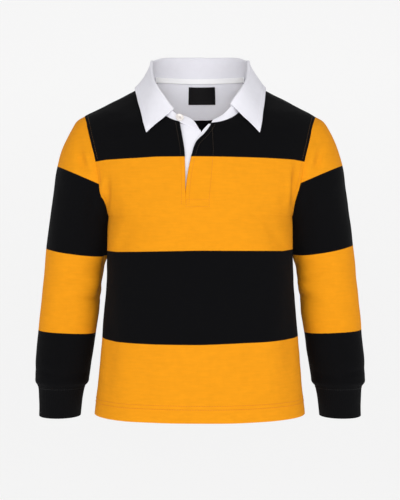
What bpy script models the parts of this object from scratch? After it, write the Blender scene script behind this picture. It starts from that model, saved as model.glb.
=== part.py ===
"""A child's long-sleeved rugby shirt, filled out as if it were worn.

The lengths below are millimetres, and make_object turns them to metres. +Z is up, the front faces
-Y, and +X is the wearer's left. Level 0 is where the shoulder seams meet the neck. Each piece is an
outer sheet of points with an inner one a cloth's thickness behind it. Pieces that are sewn together
share the points of their seam, and each is drawn back from it by half the seam gap.
"""

import bisect
import math
from collections import defaultdict, namedtuple

import bpy
from mathutils import Vector
from mathutils.bvhtree import BVHTree

MILLIMETRE = 0.001

# Cloth
JERSEY = 1.6
RIB = 2.0
COLLAR_CLOTH = 1.8
FACING_CLOTH = 1.0
SEAM_GAP = 0.36
LAYER_GAP = 0.3
MITRE_LIMIT = 0.95
SAME_WAY = 0.85

# Levels and widths that drive the body
HEM_LEVEL = -427.0
LOW_STRIPE_LEVEL = -332.5
MIDDLE_STRIPE_LEVEL = -220.5
ARMPIT_LEVEL = -177.0
ARMPIT_X = 118.6
YOKE_STRIPE_LEVEL = -105.5
SHOULDER_TIP_LEVEL = -45.0
SHOULDER_TIP_X = 149.5
NECK_HALF_WIDTH = 62.0
SHOULDER_SLOPE = -SHOULDER_TIP_LEVEL / (SHOULDER_TIP_X - NECK_HALF_WIDTH)
NECK_FRONT_DROP = 63.0
NECK_FRONT_DEPTH = 72.0
NECK_BACK_RISE = 7.0
NECK_ROUNDNESS = 2.6
ARMHOLE_FRONT_DEPTH = 43.0
ARMHOLE_BACK_DEPTH = 46.0
SLIT_END_LEVEL = -156.0
PLACKET_END_LEVEL = -167.0

# Grid of the pieces
FRONT_COLUMNS = 10
BACK_COLUMNS = 20
ARMHOLE_ROWS = 5
SHOULDER_ROWS = 6
FAN_ANGLE = 60.0
BODY_STEPS = (5, 6, 3)
ARMPIT_ROW = sum(BODY_STEPS)

Depth = namedtuple("Depth", "level front back roundness")
DEPTHS = [
    Depth(HEM_LEVEL, 93.0, 86.0, 2.35),
    Depth(-380.0, 90.5, 83.5, 2.35),
    Depth(LOW_STRIPE_LEVEL, 88.0, 81.5, 2.35),
    Depth(-280.0, 85.0, 79.5, 2.35),
    Depth(MIDDLE_STRIPE_LEVEL, 83.0, 78.5, 2.35),
    Depth(ARMPIT_LEVEL, 82.5, 80.0, 2.3),
    Depth(-140.0, 82.0, 81.0, 2.2),
    Depth(YOKE_STRIPE_LEVEL, 80.5, 80.0, 2.1),
    Depth(-80.0, 77.0, 77.5, 2.0),
    Depth(-NECK_FRONT_DROP, 72.0, 74.5, 2.0),
]

Side = namedtuple("Side", "level half_width")
SIDES = [
    Side(HEM_LEVEL, 134.3),
    Side(-408.0, 133.0),
    Side(-387.0, 130.6),
    Side(-366.0, 128.7),
    Side(-346.0, 127.2),
    Side(-325.0, 125.4),
    Side(-283.0, 122.2),
    Side(-250.0, 120.6),
    Side(-218.5, 119.8),
    Side(-196.0, 119.3),
    Side(ARMPIT_LEVEL, ARMPIT_X),
]

Armhole = namedtuple("Armhole", "level front_x back_x")
ARMHOLE = [
    Armhole(ARMPIT_LEVEL, ARMPIT_X, ARMPIT_X),
    Armhole(-171.0, 119.0, 118.8),
    Armhole(-160.0, 121.2, 122.6),
    Armhole(-136.0, 126.8, 130.6),
    Armhole(YOKE_STRIPE_LEVEL, 131.8, 136.8),
    Armhole(-80.0, 138.0, 142.0),
    Armhole(-60.0, 143.8, 146.0),
    Armhole(SHOULDER_TIP_LEVEL, SHOULDER_TIP_X, SHOULDER_TIP_X),
]

# The two edges of the open placket, and how far its facing shows past the upper one
Placket = namedtuple("Placket", "level lower_edge upper_edge facing_shows")
PLACKET = [
    Placket(SLIT_END_LEVEL, -17.8, -17.8, 0.4),
    Placket(-143.0, -18.1, -16.7, 0.4),
    Placket(-127.0, -18.3, -15.0, 0.4),
    Placket(-111.0, -18.7, -12.2, 0.5),
    Placket(-101.6, -19.0, -9.6, 0.7),
    Placket(-91.3, -20.3, -6.6, 1.2),
    Placket(-84.4, -21.6, -3.0, 2.2),
    Placket(-79.0, -22.5, 2.8, 4.0),
    Placket(-71.5, -24.0, 9.4, 6.0),
    Placket(-66.0, -25.0, 13.0, 5.0),
    Placket(-58.0, -26.2, 16.4, 1.6),
]

# Front view of the sleeve's rings, from the cap to the cuff seam
Ring = namedtuple("Ring", "outer_x outer_z inner_x inner_z centre_y half_depth front_dip side_rise")
SLEEVE = [
    Ring(160.0, -51.8, 120.9, -183.0, 1.5, 45.0, 0.0, 8.5),
    Ring(168.5, -65.0, 121.5, -189.0, 3.0, 45.0, 0.0, 10.0),
    Ring(176.3, -80.0, 121.6, -195.0, 5.0, 45.0, 0.0, 9.5),
    Ring(182.3, -95.5, 121.6, -201.0, 6.5, 44.5, 0.5, 8.0),
    Ring(186.8, -113.0, 121.5, -207.0, 8.5, 44.0, 1.0, 6.0),
    Ring(190.2, -134.0, 121.4, -212.0, 11.0, 43.5, 2.0, 4.0),
    Ring(194.0, -158.0, 121.5, -216.0, 13.5, 43.0, 3.0, 2.0),
    Ring(198.0, -186.0, 121.6, -219.5, 16.0, 42.5, 3.5, 1.0),
    Ring(202.8, -219.0, 122.2, -224.0, 18.5, 42.0, 4.0, 0.0),
    Ring(205.5, -249.0, 126.2, -252.0, 20.0, 41.0, 3.0, 0.0),
    Ring(208.5, -278.0, 131.0, -281.0, 20.5, 39.5, 2.0, 0.0),
    Ring(211.0, -304.0, 135.0, -307.0, 20.0, 38.0, 1.5, 0.0),
    Ring(213.0, -325.5, 138.2, -328.0, 19.0, 37.0, 1.0, 0.0),
    Ring(214.8, -350.0, 141.2, -352.0, 17.5, 35.5, 0.5, 0.0),
    Ring(216.0, -373.0, 144.4, -374.5, 16.0, 34.0, 0.0, 0.0),
    Ring(216.2, -386.0, 146.9, -386.5, 15.0, 33.0, 0.0, 0.0),
    Ring(213.6, -394.5, 150.2, -394.5, 14.5, 30.5, 0.0, 0.0),
]
ARMHOLE_OVAL = Ring(SHOULDER_TIP_X, SHOULDER_TIP_LEVEL, ARMPIT_X, ARMPIT_LEVEL, 1.5, 44.5, 0.0, 5.5)
CAP_RINGS = 5.0
CUFF = [
    Ring(211.9, -399.0, 151.9, -399.0, 14.3, 29.0, 0.0, 0.0),
    Ring(211.2, -411.0, 154.3, -411.0, 14.0, 28.2, 0.0, 0.0),
    Ring(210.7, -423.0, 155.7, -423.0, 13.7, 27.8, 0.0, 0.0),
    Ring(210.9, -435.0, 156.9, -435.0, 13.5, 27.5, 0.0, 0.0),
]
UPPER_BAND_OUTER_X = 184.7
UPPER_BAND_LEVEL = -111.0
UPPER_BAND_SLOPE = 0.434
ELBOW_BAND_RING = 9
FOREARM_BAND_RING = 13
SEAM_SHARE = 1.1
Band = namedtuple("Band", "end_ring rows")

# Soft folds in the sleeve: place along the rings, angle from the outer line through the front
Fold = namedtuple("Fold", "ring angle length width depth")
SLEEVE_FOLDS = [
    Fold(1.2, 62.0, 1.0, 26.0, 2.4),
    Fold(9.6, 150.0, 0.32, 46.0, 2.6),
    Fold(10.4, 128.0, 0.34, 40.0, -1.6),
    Fold(11.0, 152.0, 0.36, 44.0, 2.4),
    Fold(10.2, 205.0, 0.40, 46.0, 2.2),
    Fold(14.6, 60.0, 0.45, 50.0, -1.0),
]
BodyFold = namedtuple("BodyFold", "x z lean length width depth")
FRONT_FOLDS = [
    BodyFold(108.0, -168.0, 0.25, 46.0, 9.0, 2.2),
    BodyFold(112.0, -300.0, 0.05, 70.0, 12.0, 1.8),
]

# The collar, by angle round the neck from the centre back: rise of the fold above the neck
# seam, and how far the fold leans out and back
Roll = namedtuple("Roll", "angle rise out back")
ROLL = [
    Roll(0.0, 36.5, 3.5, 0.0),
    Roll(45.0, 34.0, 2.8, 0.0),
    Roll(80.0, 27.5, 1.0, 1.0),
    Roll(100.0, 27.5, 0.2, 2.0),
    Roll(120.0, 29.0, 0.0, 3.0),
    Roll(135.0, 25.0, 0.0, 3.8),
    Roll(147.0, 16.0, 0.0, 4.0),
    Roll(158.0, 9.8, 0.0, 5.5),
    Roll(168.0, 5.2, 0.0, 3.0),
    Roll(180.0, 3.0, 0.0, 1.8),
]
# The outer edge of the collar where it lies on the chest, the shoulder and the back
Edge = namedtuple("Edge", "share x y z")
COLLAR_EDGE = [
    Edge(0.00, 69.5, -72.0, -73.5),
    Edge(0.06, 72.5, -61.0, -60.0),
    Edge(0.12, 76.5, -45.0, -44.0),
    Edge(0.17, 80.5, -27.0, -28.0),
    Edge(0.21, 82.5, -9.0, -15.5),
    Edge(0.25, 82.0, 9.0, -13.5),
    Edge(0.31, 75.0, 28.0, -12.0),
    Edge(0.38, 56.0, 46.0, -9.0),
    Edge(0.45, 27.0, 58.0, -6.0),
    Edge(0.50, 0.0, 61.0, -5.0),
]
LEAF_CORNER_X = 30.0
LEFT_LEAF_SPREAD = 4.0
FOLD_RADIUS = 2.1
FOLD_FOOT = 1.0
LEAF_EASE = 1.35
ROLL_TANGENT = 0.14
LYING_TANGENT = 0.30
SHOULDER_LIFT = 2.4
SHOULDER_LIFT_REACH = 18.0
STAND_ROWS = 3
LEAF_ROWS = 6

# The buttonless side's stand runs on over the lower placket
StandEnd = namedtuple("StandEnd", "x low high depth")
STAND_END = [
    StandEnd(-18.0, -63.6, -49.3, 2.2),
    StandEnd(-6.5, -67.8, -55.3, 3.0),
    StandEnd(-0.8, -70.2, -65.6, 3.0),
]
STAND_LEAN = 0.6
UNDER_PLACKET_TUCK = 5.0
UnderEdge = namedtuple("UnderEdge", "level x")
UNDER_EDGE = [
    UnderEdge(PLACKET_END_LEVEL, 12.0),
    UnderEdge(-130.0, 11.0),
    UnderEdge(-100.0, 8.0),
    UnderEdge(-85.0, 5.0),
    UnderEdge(-73.0, 1.2),
    UnderEdge(-60.0, -3.0),
]
FACING_FAR_EDGE = 14.6
FACING_TOP_LEVEL = -62.6

TAPE_LOW = 3.9
TAPE_HIGH = 10.6
TAPE_DEPTH = COLLAR_CLOTH + FACING_CLOTH + 3.0 * LAYER_GAP
FACING_EASE = 0.4
HALF_MOON_DROP = 40.3
HALF_MOON_HALF_WIDTH = 58.5
HALF_MOON_FLATNESS = 2.8
HALF_MOON_SEAM = 0.6
LABEL_CENTRE_X = 2.7
LABEL_WIDTH = 37.0
LABEL_TOP = 2.6
LABEL_DROP = 22.0
BUTTON_DIAMETER = 10.0
BUTTON_THICKNESS = 2.4
BUTTON_X = -27.5
BUTTON_HEIGHT_SHARE = 0.36
BUTTON_SHANK = 0.7
BUTTON_SIDES = 24

Finish = namedtuple("Finish", "colour roughness")
FINISHES = {
    "black_jersey": Finish((0.006, 0.006, 0.007, 1.0), 0.9),
    "gold_jersey": Finish((0.92, 0.36, 0.012, 1.0), 0.85),
    "black_rib": Finish((0.006, 0.006, 0.007, 1.0), 0.9),
    "white_twill": Finish((0.85, 0.85, 0.87, 1.0), 0.8),
    "white_tape": Finish((0.82, 0.82, 0.84, 1.0), 0.8),
    "black_label": Finish((0.008, 0.008, 0.009, 1.0), 0.6),
    "cream_button": Finish((0.84, 0.80, 0.78, 1.0), 0.35),
}


def smooth(rows, place, value):
    """A smooth function through one column of a table, by another, in rising order of place."""
    pairs = sorted((getattr(row, place), getattr(row, value)) for row in rows)
    places = [pair[0] for pair in pairs]
    values = [pair[1] for pair in pairs]
    last = len(pairs) - 1
    steps = [(values[i + 1] - values[i]) / (places[i + 1] - places[i]) for i in range(last)]
    slopes = [steps[0]]
    for before, after in zip(steps, steps[1:]):
        slopes.append(0.0 if before * after <= 0.0 else 2.0 * before * after / (before + after))
    slopes.append(steps[-1])

    def at(where):
        where = min(max(where, places[0]), places[-1])
        i = min(max(bisect.bisect_right(places, where) - 1, 0), last - 1)
        span = places[i + 1] - places[i]
        t = (where - places[i]) / span
        start = (1.0 + 2.0 * t) * (1.0 - t) ** 2 * values[i] + t * (1.0 - t) ** 2 * span * slopes[i]
        end = t * t * (3.0 - 2.0 * t) * values[i + 1] - t * t * (1.0 - t) * span * slopes[i + 1]
        return start + end

    return at


table_depth = {face: smooth(DEPTHS, "level", face) for face in ("front", "back")}
table_roundness = smooth(DEPTHS, "level", "roundness")
side_width = smooth(SIDES, "level", "half_width")
armhole_x = {face: smooth(ARMHOLE, "level", face + "_x") for face in ("front", "back")}
armhole_depth = {"front": ARMHOLE_FRONT_DEPTH, "back": ARMHOLE_BACK_DEPTH}
lower_edge = smooth(PLACKET, "level", "lower_edge")
upper_edge = smooth(PLACKET, "level", "upper_edge")
facing_shows = smooth(PLACKET, "level", "facing_shows")
under_edge = smooth(UNDER_EDGE, "level", "x")
roll_rise = smooth(ROLL, "angle", "rise")
roll_out = smooth(ROLL, "angle", "out")
roll_back = smooth(ROLL, "angle", "back")
collar_edge = {axis: smooth(COLLAR_EDGE, "share", axis) for axis in "xyz"}


def centre_depth(face, z):
    """How far the centre front or back stands from the shoulder seam's plane."""
    if z > -NECK_FRONT_DROP:
        drop = max(-z, 0.0) / NECK_FRONT_DROP
        if face == "front":
            return NECK_FRONT_DEPTH * drop**0.8
        return 57.0 - 0.3 * max(z, 0.0) + 17.5 * drop**0.9
    return table_depth[face](z)


def armhole_swing(z):
    """Place on the armhole's oval, from 0 at its top and bottom to 1 where it is deepest."""
    if z < YOKE_STRIPE_LEVEL:
        reach = (YOKE_STRIPE_LEVEL - z) / (YOKE_STRIPE_LEVEL - ARMPIT_LEVEL)
    else:
        reach = (z - YOKE_STRIPE_LEVEL) / (SHOULDER_TIP_LEVEL - YOKE_STRIPE_LEVEL)
    return math.sqrt(max(1.0 - reach * reach, 0.0))


def half_width(face, z):
    """Half the width of the whole level section, sleeves' place included above the armpit."""
    if z <= ARMPIT_LEVEL:
        return side_width(z)
    if z >= SHOULDER_TIP_LEVEL:
        return NECK_HALF_WIDTH + max(-z, 0.0) / SHOULDER_SLOPE
    n = table_roundness(z)
    share = armhole_depth[face] * armhole_swing(z) / centre_depth(face, z)
    return armhole_x[face](z) / (1.0 - share**n) ** (1.0 / n)


def bump(offset, reach):
    return math.exp(-((offset / reach) ** 2))


def fold_depth(x, z):
    """The hollows that run down the front below each armhole."""
    hollow = 0.0
    for fold in FRONT_FOLDS:
        along = z - fold.z
        across = abs(x) - fold.x - fold.lean * along
        hollow += fold.depth * bump(along, fold.length) * bump(across, fold.width)
    return hollow


def body_point(face, x, z):
    n = table_roundness(z) if z < -NECK_FRONT_DROP else 2.0
    share = min(abs(x) / half_width(face, z), 1.0)
    reach = (1.0 - share**n) ** (1.0 / n)
    if face == "front":
        return Vector((x, -centre_depth(face, z) * reach + fold_depth(x, z) * reach, z))
    return Vector((x, centre_depth(face, z) * reach, z))


def body_normal(face, x, z):
    step = 0.5
    along_x = body_point(face, x + step, z) - body_point(face, x - step, z)
    along_z = body_point(face, x, z + step) - body_point(face, x, z - step)
    normal = along_x.cross(along_z).normalized()
    return normal if face == "front" else -normal


def below_body(face, x, z, depth):
    return body_point(face, x, z) - depth * body_normal(face, x, z)


Row = namedtuple("Row", "front back front_edge back_edge follow power roundness end_angle")


def between(start, end, count, first=0):
    return [start + (end - start) * i / count for i in range(first, count + 1)]


def body_rows():
    """Rows from hem to neck: centre levels, both panels' outer edges, and how near the neck."""
    rows = []
    levels = between(HEM_LEVEL, LOW_STRIPE_LEVEL, BODY_STEPS[0])
    levels += between(LOW_STRIPE_LEVEL, MIDDLE_STRIPE_LEVEL, BODY_STEPS[1], 1)
    levels += between(MIDDLE_STRIPE_LEVEL, ARMPIT_LEVEL, BODY_STEPS[2], 1)
    for z in levels:
        edge = (side_width(z), z)
        rows.append(Row(z, z, edge, edge, 0.0, 1.0, 2.0, 90.0))
    quarter = math.pi / 2.0 / ARMHOLE_ROWS
    for k in range(1, ARMHOLE_ROWS + 1):
        rise = (YOKE_STRIPE_LEVEL - ARMPIT_LEVEL) * (1.0 - math.cos(k * quarter))
        z = ARMPIT_LEVEL + rise
        edges = [(armhole_x[face](z), z) for face in ("front", "back")]
        rows.append(Row(z, z, *edges, 0.0, 1.0, 2.0, 90.0))
    fan = ARMHOLE_ROWS + SHOULDER_ROWS
    for k in range(1, fan + 1):
        front = YOKE_STRIPE_LEVEL + (-NECK_FRONT_DROP - YOKE_STRIPE_LEVEL) * k / fan
        back = YOKE_STRIPE_LEVEL + (NECK_BACK_RISE - YOKE_STRIPE_LEVEL) * k / fan
        if k <= ARMHOLE_ROWS:
            rise = (SHOULDER_TIP_LEVEL - YOKE_STRIPE_LEVEL) * math.sin(k * quarter)
            z = YOKE_STRIPE_LEVEL + rise
            edges = [(armhole_x[face](z), z) for face in ("front", "back")]
            near = k / ARMHOLE_ROWS
            rows.append(Row(front, back, *edges, near * near, 1.0 + near, 2.0, FAN_ANGLE))
        else:
            share = (k - ARMHOLE_ROWS) / SHOULDER_ROWS
            x = SHOULDER_TIP_X + (NECK_HALF_WIDTH - SHOULDER_TIP_X) * share
            edge = (x, SHOULDER_TIP_LEVEL * (1.0 - share))
            power = 2.0 + (1.0 / NECK_ROUNDNESS - 2.0) * share
            roundness = 2.0 + (NECK_ROUNDNESS - 2.0) * share
            angle = FAN_ANGLE + (90.0 - FAN_ANGLE) * share
            rows.append(Row(front, back, edge, edge, 1.0 - share, power, roundness, angle))
    return rows


def row_point(face, row, share):
    """A point of a row, from share -1 at one outer edge through 0 at the centre to 1."""
    edge_x, edge_z = row.front_edge if face == "front" else row.back_edge
    centre = row.front if face == "front" else row.back
    reach = min(abs(share), 1.0)
    fall = (1.0 - reach**row.roundness) ** row.power
    ridge = SHOULDER_SLOPE * edge_x * (1.0 - reach) * row.follow * reach**3
    z = edge_z + (centre - edge_z) * fall + ridge
    return body_point(face, edge_x * share, z)


def row_angle(face, row):
    """The angle round the body where a row ends, which spaces its points evenly."""
    x, z = row.front_edge if face == "front" else row.back_edge
    return min(math.asin(min(x / half_width(face, z), 1.0)), math.radians(row.end_angle))


Sheet = namedtuple("Sheet", "points faces finishes")


def new_sheet():
    return Sheet([], [], [])


def add_grid(sheet, grid, finish, flip=False):
    """Joins rows of points with quads, each with the finish for its row and column."""
    places = {}
    for index, point in enumerate(sheet.points):
        places[key(point)] = index
    numbers = []
    for line in grid:
        numbers.append([])
        for point in line:
            if key(point) not in places:
                places[key(point)] = len(sheet.points)
                sheet.points.append(point)
            numbers[-1].append(places[key(point)])
    for r in range(len(grid) - 1):
        for c in range(len(grid[r]) - 1):
            face = [numbers[r][c], numbers[r][c + 1], numbers[r + 1][c + 1], numbers[r + 1][c]]
            face = [n for i, n in enumerate(face) if n != face[i - 1]]
            sheet.faces.append(face[::-1] if flip else face)
            sheet.finishes.append(finish(r, c))


def key(point):
    return tuple(round(v, 3) for v in point)


def body_stripe(rows):
    """The colour of each row of the body: gold over the hem, black, gold, and a black yoke."""
    def finish(r, _column):
        z = (rows[r].front_edge[1] + rows[r + 1].front_edge[1]) / 2.0
        gold = z < LOW_STRIPE_LEVEL or MIDDLE_STRIPE_LEVEL < z < YOKE_STRIPE_LEVEL
        return "gold_jersey" if gold else "black_jersey"
    return finish


def front_sheet(rows):
    """The front, with the placket's slit running down from the neck left of the centre."""
    sheet = new_sheet()
    necks = {}
    for side, edge in ((-1, lower_edge), (1, upper_edge)):
        grid = []
        for row in rows:
            end = row_angle("front", row)
            level = max(row.front, SLIT_END_LEVEL)
            start = edge(level) if row.front > SLIT_END_LEVEL else lower_edge(SLIT_END_LEVEL)
            first = math.asin(start / row.front_edge[0] * math.sin(end))
            angles = between(first, side * end, FRONT_COLUMNS)
            shares = [math.sin(angle) / math.sin(end) for angle in angles]
            grid.append([row_point("front", row, share) for share in shares])
        add_grid(sheet, grid, body_stripe(rows), flip=side < 0)
        necks[side] = grid[-1]
    return sheet, necks


def back_sheet(rows):
    sheet = new_sheet()
    grid = []
    for row in rows:
        end = row_angle("back", row)
        shares = [math.sin(a) / math.sin(end) for a in between(-end, end, BACK_COLUMNS)]
        grid.append([row_point("back", row, share) for share in shares])
    add_grid(sheet, grid, body_stripe(rows), flip=True)
    return sheet, grid[-1]


def armhole_loop(rows):
    """The left armhole from the shoulder tip round by the front to the armpit and up the back."""
    inside = rows[ARMPIT_ROW : ARMPIT_ROW + 2 * ARMHOLE_ROWS + 1]
    loop = [row_point("front", row, 1.0) for row in reversed(inside)]
    loop += [row_point("back", row, 1.0) for row in inside[1:-1]]
    return loop


def ring_point(ring, angle):
    """A point of a sleeve's ring, by angle from its outer line through the front."""
    outer = Vector((ring.outer_x, ring.centre_y, ring.outer_z))
    inner = Vector((ring.inner_x, ring.centre_y, ring.inner_z))
    front = Vector((0.0, -ring.half_depth, -ring.front_dip))
    rise = Vector((0.0, 0.0, ring.side_rise)) * math.sin(angle) ** 2
    middle = (outer + inner) / 2.0 + rise
    return middle + (outer - inner) / 2.0 * math.cos(angle) + front * math.sin(angle)


def spline(points, place):
    """A point on a Catmull-Rom curve through evenly numbered points."""
    i = min(int(place), len(points) - 2)
    t = place - i
    a, b = points[max(i - 1, 0)], points[i]
    c, d = points[i + 1], points[min(i + 2, len(points) - 1)]
    return 0.5 * (2 * b + (c - a) * t + (2 * a - 5 * b + 4 * c - d) * t**2
                  + (3 * b - 3 * c + d - a) * t**3)


def above_upper_band(point):
    return point.z > UPPER_BAND_LEVEL + UPPER_BAND_SLOPE * (point.x - UPPER_BAND_OUTER_X)


def upper_band_place(line):
    """Where a line down the sleeve crosses from the gold cap to the black band."""
    place = SEAM_SHARE
    step = 0.05
    while place < ELBOW_BAND_RING and above_upper_band(spline(line, place)):
        place += step
    return place


def sleeve_sheet(rows):
    loop = armhole_loop(rows)
    count = len(loop)
    lines = []
    for c, point in enumerate(loop):
        angle = 2.0 * math.pi * c / count
        bulge = point - ring_point(ARMHOLE_OVAL, angle)
        line = [point]
        for k, ring in enumerate(SLEEVE, 1):
            carried = max(1.0 - k / CAP_RINGS, 0.0) ** 2
            line.append(ring_point(ring, angle) + bulge * carried)
        lines.append(line)
    bands = [Band(None, 4), Band(ELBOW_BAND_RING, 6), Band(FOREARM_BAND_RING, 6), Band(len(SLEEVE), 4)]
    columns = []
    for c, line in enumerate(lines):
        places = [0.0]
        for band in bands:
            end = upper_band_place(line) if band.end_ring is None else float(band.end_ring)
            places += between(places[-1], end, band.rows, 1)
        columns.append([folded(line, place, 360.0 * c / count) for place in places])
    columns.append(columns[0])
    grid = [[column[r] for column in columns] for r in range(len(columns[0]))]
    ends = [sum(band.rows for band in bands[: i + 1]) for i in range(len(bands))]

    def finish(r, c):
        if r < ends[0]:
            centre = (grid[r][c] + grid[r + 1][c + 1]) / 2.0
            return "gold_jersey" if above_upper_band(centre) else "black_jersey"
        return "gold_jersey" if ends[1] <= r < ends[2] else "black_jersey"

    sheet = new_sheet()
    add_grid(sheet, grid, finish)
    return sheet


def folded(line, place, angle):
    """A point of the sleeve with its soft folds, which are troughs, or ridges where negative."""
    point = spline(line, place)
    if place <= 0.0 or place >= len(line) - 1:
        return point
    ring = SLEEVE[min(max(int(place + 0.5) - 1, 0), len(SLEEVE) - 1)]
    inward = Vector(((ring.outer_x + ring.inner_x) / 2.0 - point.x, ring.centre_y - point.y, 0.0))
    depth = 0.0
    for fold in SLEEVE_FOLDS:
        turn = (angle - fold.angle + 180.0) % 360.0 - 180.0
        depth += fold.depth * bump(place - fold.ring, fold.length) * bump(turn, fold.width)
    return point + inward.normalized() * depth


def cuff_sheet():
    count = 4 * ARMHOLE_ROWS
    rings = []
    for ring in [SLEEVE[-1]] + CUFF:
        rings.append([ring_point(ring, 2.0 * math.pi * c / count) for c in range(count)])
        rings[-1].append(rings[-1][0])
    sheet = new_sheet()
    add_grid(sheet, rings, lambda r, c: "black_rib")
    return sheet


def mirrored(sheet):
    points = [Vector((-p.x, p.y, p.z)) for p in sheet.points]
    return Sheet(points, [face[::-1] for face in sheet.faces], list(sheet.finishes))


Station = namedtuple("Station", "low high out up")


def neck_angle(point):
    """Angle round the neck from the centre back, the same on both sides."""
    if point.y >= 0.0:
        return math.degrees(math.asin(min(abs(point.x) / NECK_HALF_WIDTH, 1.0)))
    return 180.0 - math.degrees(math.asin(min(abs(point.x) / NECK_HALF_WIDTH, 1.0)))


def collar_stations(necks, back_neck):
    """Neck seam and fold of the collar, from the under placket round the back to the slit."""
    lows = []
    highs = []
    outs = []
    for end in reversed(STAND_END):
        lows.append(below_body("front", end.x, end.low, end.depth))
        highs.append(lows[-1] + Vector((0.0, STAND_LEAN, 1.0)) * (end.high - end.low))
        outs.append(body_normal("front", end.x, end.low))
    for point in necks[-1] + back_neck[1:-1] + necks[1][::-1]:
        angle = neck_angle(point)
        out = Vector((point.x / NECK_HALF_WIDTH, point.y / NECK_FRONT_DEPTH, 0.0)).normalized()
        rise = Vector((0.0, roll_back(angle), roll_rise(angle))) + roll_out(angle) * out
        lows.append(point.copy())
        highs.append(point + rise)
        outs.append(out)
    stations = []
    for i, (low, high, out) in enumerate(zip(lows, highs, outs)):
        before = highs[max(i - 1, 0)]
        after = highs[min(i + 1, len(highs) - 1)]
        along = (after - before).normalized()
        up = (high - low) - along * (high - low).dot(along)
        out = out - along * out.dot(along)
        up = up.normalized()
        out = (out - up * out.dot(up)).normalized()
        stations.append(Station(low, high, out, up))
    return stations


def stand_sheet(stations):
    grid = []
    for r in range(STAND_ROWS + 1):
        share = r / STAND_ROWS
        line = []
        for station in stations:
            drop = FOLD_RADIUS + FOLD_FOOT + SEAM_GAP
            drop = min(drop, (station.high - station.low).length * 0.4)
            line.append(station.low.lerp(station.high - station.up * drop, share))
        grid.append(line)
    sheet = new_sheet()
    add_grid(sheet, grid, lambda r, c: "white_twill", flip=True)
    return sheet


def leaf_clearance(point, share):
    """How far the fall stands off the body, by its share of the way from fold to edge."""
    lift = SHOULDER_LIFT * bump(point.y, SHOULDER_LIFT_REACH)
    return COLLAR_CLOTH + LEAF_EASE * (0.5 + share) + lift


def collar_edge_point(skin, share):
    """The lying edge of the collar, from the wearer's right tip (0) to the left one (1)."""
    side = -1.0 if share < 0.5 else 1.0
    near = min(share, 1.0 - share)
    spread = LEFT_LEAF_SPREAD * max(1.0 - near / 0.25, 0.0)
    x = side * collar_edge["x"](near) + spread
    nearest, normal, _face, _distance = skin.find_nearest(
        Vector((x, collar_edge["y"](near), collar_edge["z"](near)))
    )
    return nearest + normal * leaf_clearance(nearest, 0.5)


def clear_of(skin, point, clearance):
    """The point, moved out until it stands clear of the body's nearest face."""
    nearest, normal, _face, _distance = skin.find_nearest(point)
    height = (point - nearest).dot(normal)
    return point + normal * max(clearance - height, 0.0)


def fall_sheet(stations, panels):
    """The fall, over the fold and down to the lying edge, with its two points."""
    points = []
    faces = []
    for panel in panels:
        faces += [[n + len(points) for n in face] for face in panel.faces]
        points += panel.points
    skin = BVHTree.FromPolygons(points, faces)
    first = min(i for i, s in enumerate(stations) if i > len(STAND_END) and s.low.x < -LEAF_CORNER_X)
    last = max(i for i, s in enumerate(stations) if s.low.x > LEAF_CORNER_X)
    leaf = stations[first : last + 1]
    lengths = [0.0]
    for a, b in zip(leaf, leaf[1:]):
        lengths.append(lengths[-1] + (b.high - a.high).length)
    columns = []
    for station, length in zip(leaf, lengths):
        up = station.up
        out = station.out
        start = station.high - up * FOLD_RADIUS - out * COLLAR_CLOTH
        column = [start - up * FOLD_FOOT]
        for k in range(5):
            turn = math.pi * k / 4.0
            column.append(start + out * FOLD_RADIUS * (1.0 - math.cos(turn)) + up * FOLD_RADIUS * math.sin(turn))
        edge = collar_edge_point(skin, length / lengths[-1])
        top = column[-1]
        near = top - up * (edge - top).length * ROLL_TANGENT
        far = edge + (near - edge).normalized() * (edge - top).length * LYING_TANGENT
        for k in range(1, LEAF_ROWS + 1):
            t = k / LEAF_ROWS
            point = (top * (1 - t) ** 3 + near * 3 * t * (1 - t) ** 2
                     + far * 3 * t * t * (1 - t) + edge * t**3)
            column.append(clear_of(skin, point, leaf_clearance(point, t)))
        columns.append(column)
    grid = [[column[r] for column in columns] for r in range(len(columns[0]))]
    sheet = new_sheet()
    add_grid(sheet, grid, lambda r, c: "white_twill")
    return sheet


def strip_sheet(face, levels, edges, depths, finish, flip):
    """A strip that lies behind a panel: at each level, places across it and their depths."""
    grid = []
    for z in levels:
        grid.append([below_body(face, x, z, d) for x, d in zip(edges(z), depths)])
    sheet = new_sheet()
    add_grid(sheet, grid, lambda r, c: finish, flip)
    return sheet


def under_placket_sheet():
    behind_front = JERSEY + LAYER_GAP
    behind_facing = behind_front + FACING_CLOTH + LAYER_GAP

    def edges(z):
        near = lower_edge(max(z, SLIT_END_LEVEL))
        far = under_edge(z)
        return [near - UNDER_PLACKET_TUCK, near - 1.0, near + (far - near) * 0.5, far]

    def tops(share):
        return STAND_END[0].low - 1.0 - share * 6.6

    grid = []
    levels = between(PLACKET_END_LEVEL, -72.0, 9)
    depths = [behind_front, behind_facing, behind_facing, behind_facing]
    for z in levels:
        grid.append([below_body("front", x, z, d) for x, d in zip(edges(z), depths)])
    slopes = [-0.4, -0.55, 0.35, 1.0]
    grid.append([below_body("front", x, tops(s), d) for x, s, d in zip(edges(-71.0), slopes, depths)])
    sheet = new_sheet()
    add_grid(sheet, grid, lambda r, c: "white_twill")
    return sheet


def facing_sheet():
    levels = between(PLACKET_END_LEVEL, FACING_TOP_LEVEL, 14)

    def edges(z):
        near = upper_edge(max(z, SLIT_END_LEVEL)) - facing_shows(max(z, SLIT_END_LEVEL))
        far = FACING_FAR_EDGE + max(0.0, z + 80.0) * 0.25
        return [near, near + (far - near) * 0.5, far]

    depth = JERSEY + LAYER_GAP
    return strip_sheet("front", levels, edges, [depth] * 3, "white_twill", flip=False)


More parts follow.
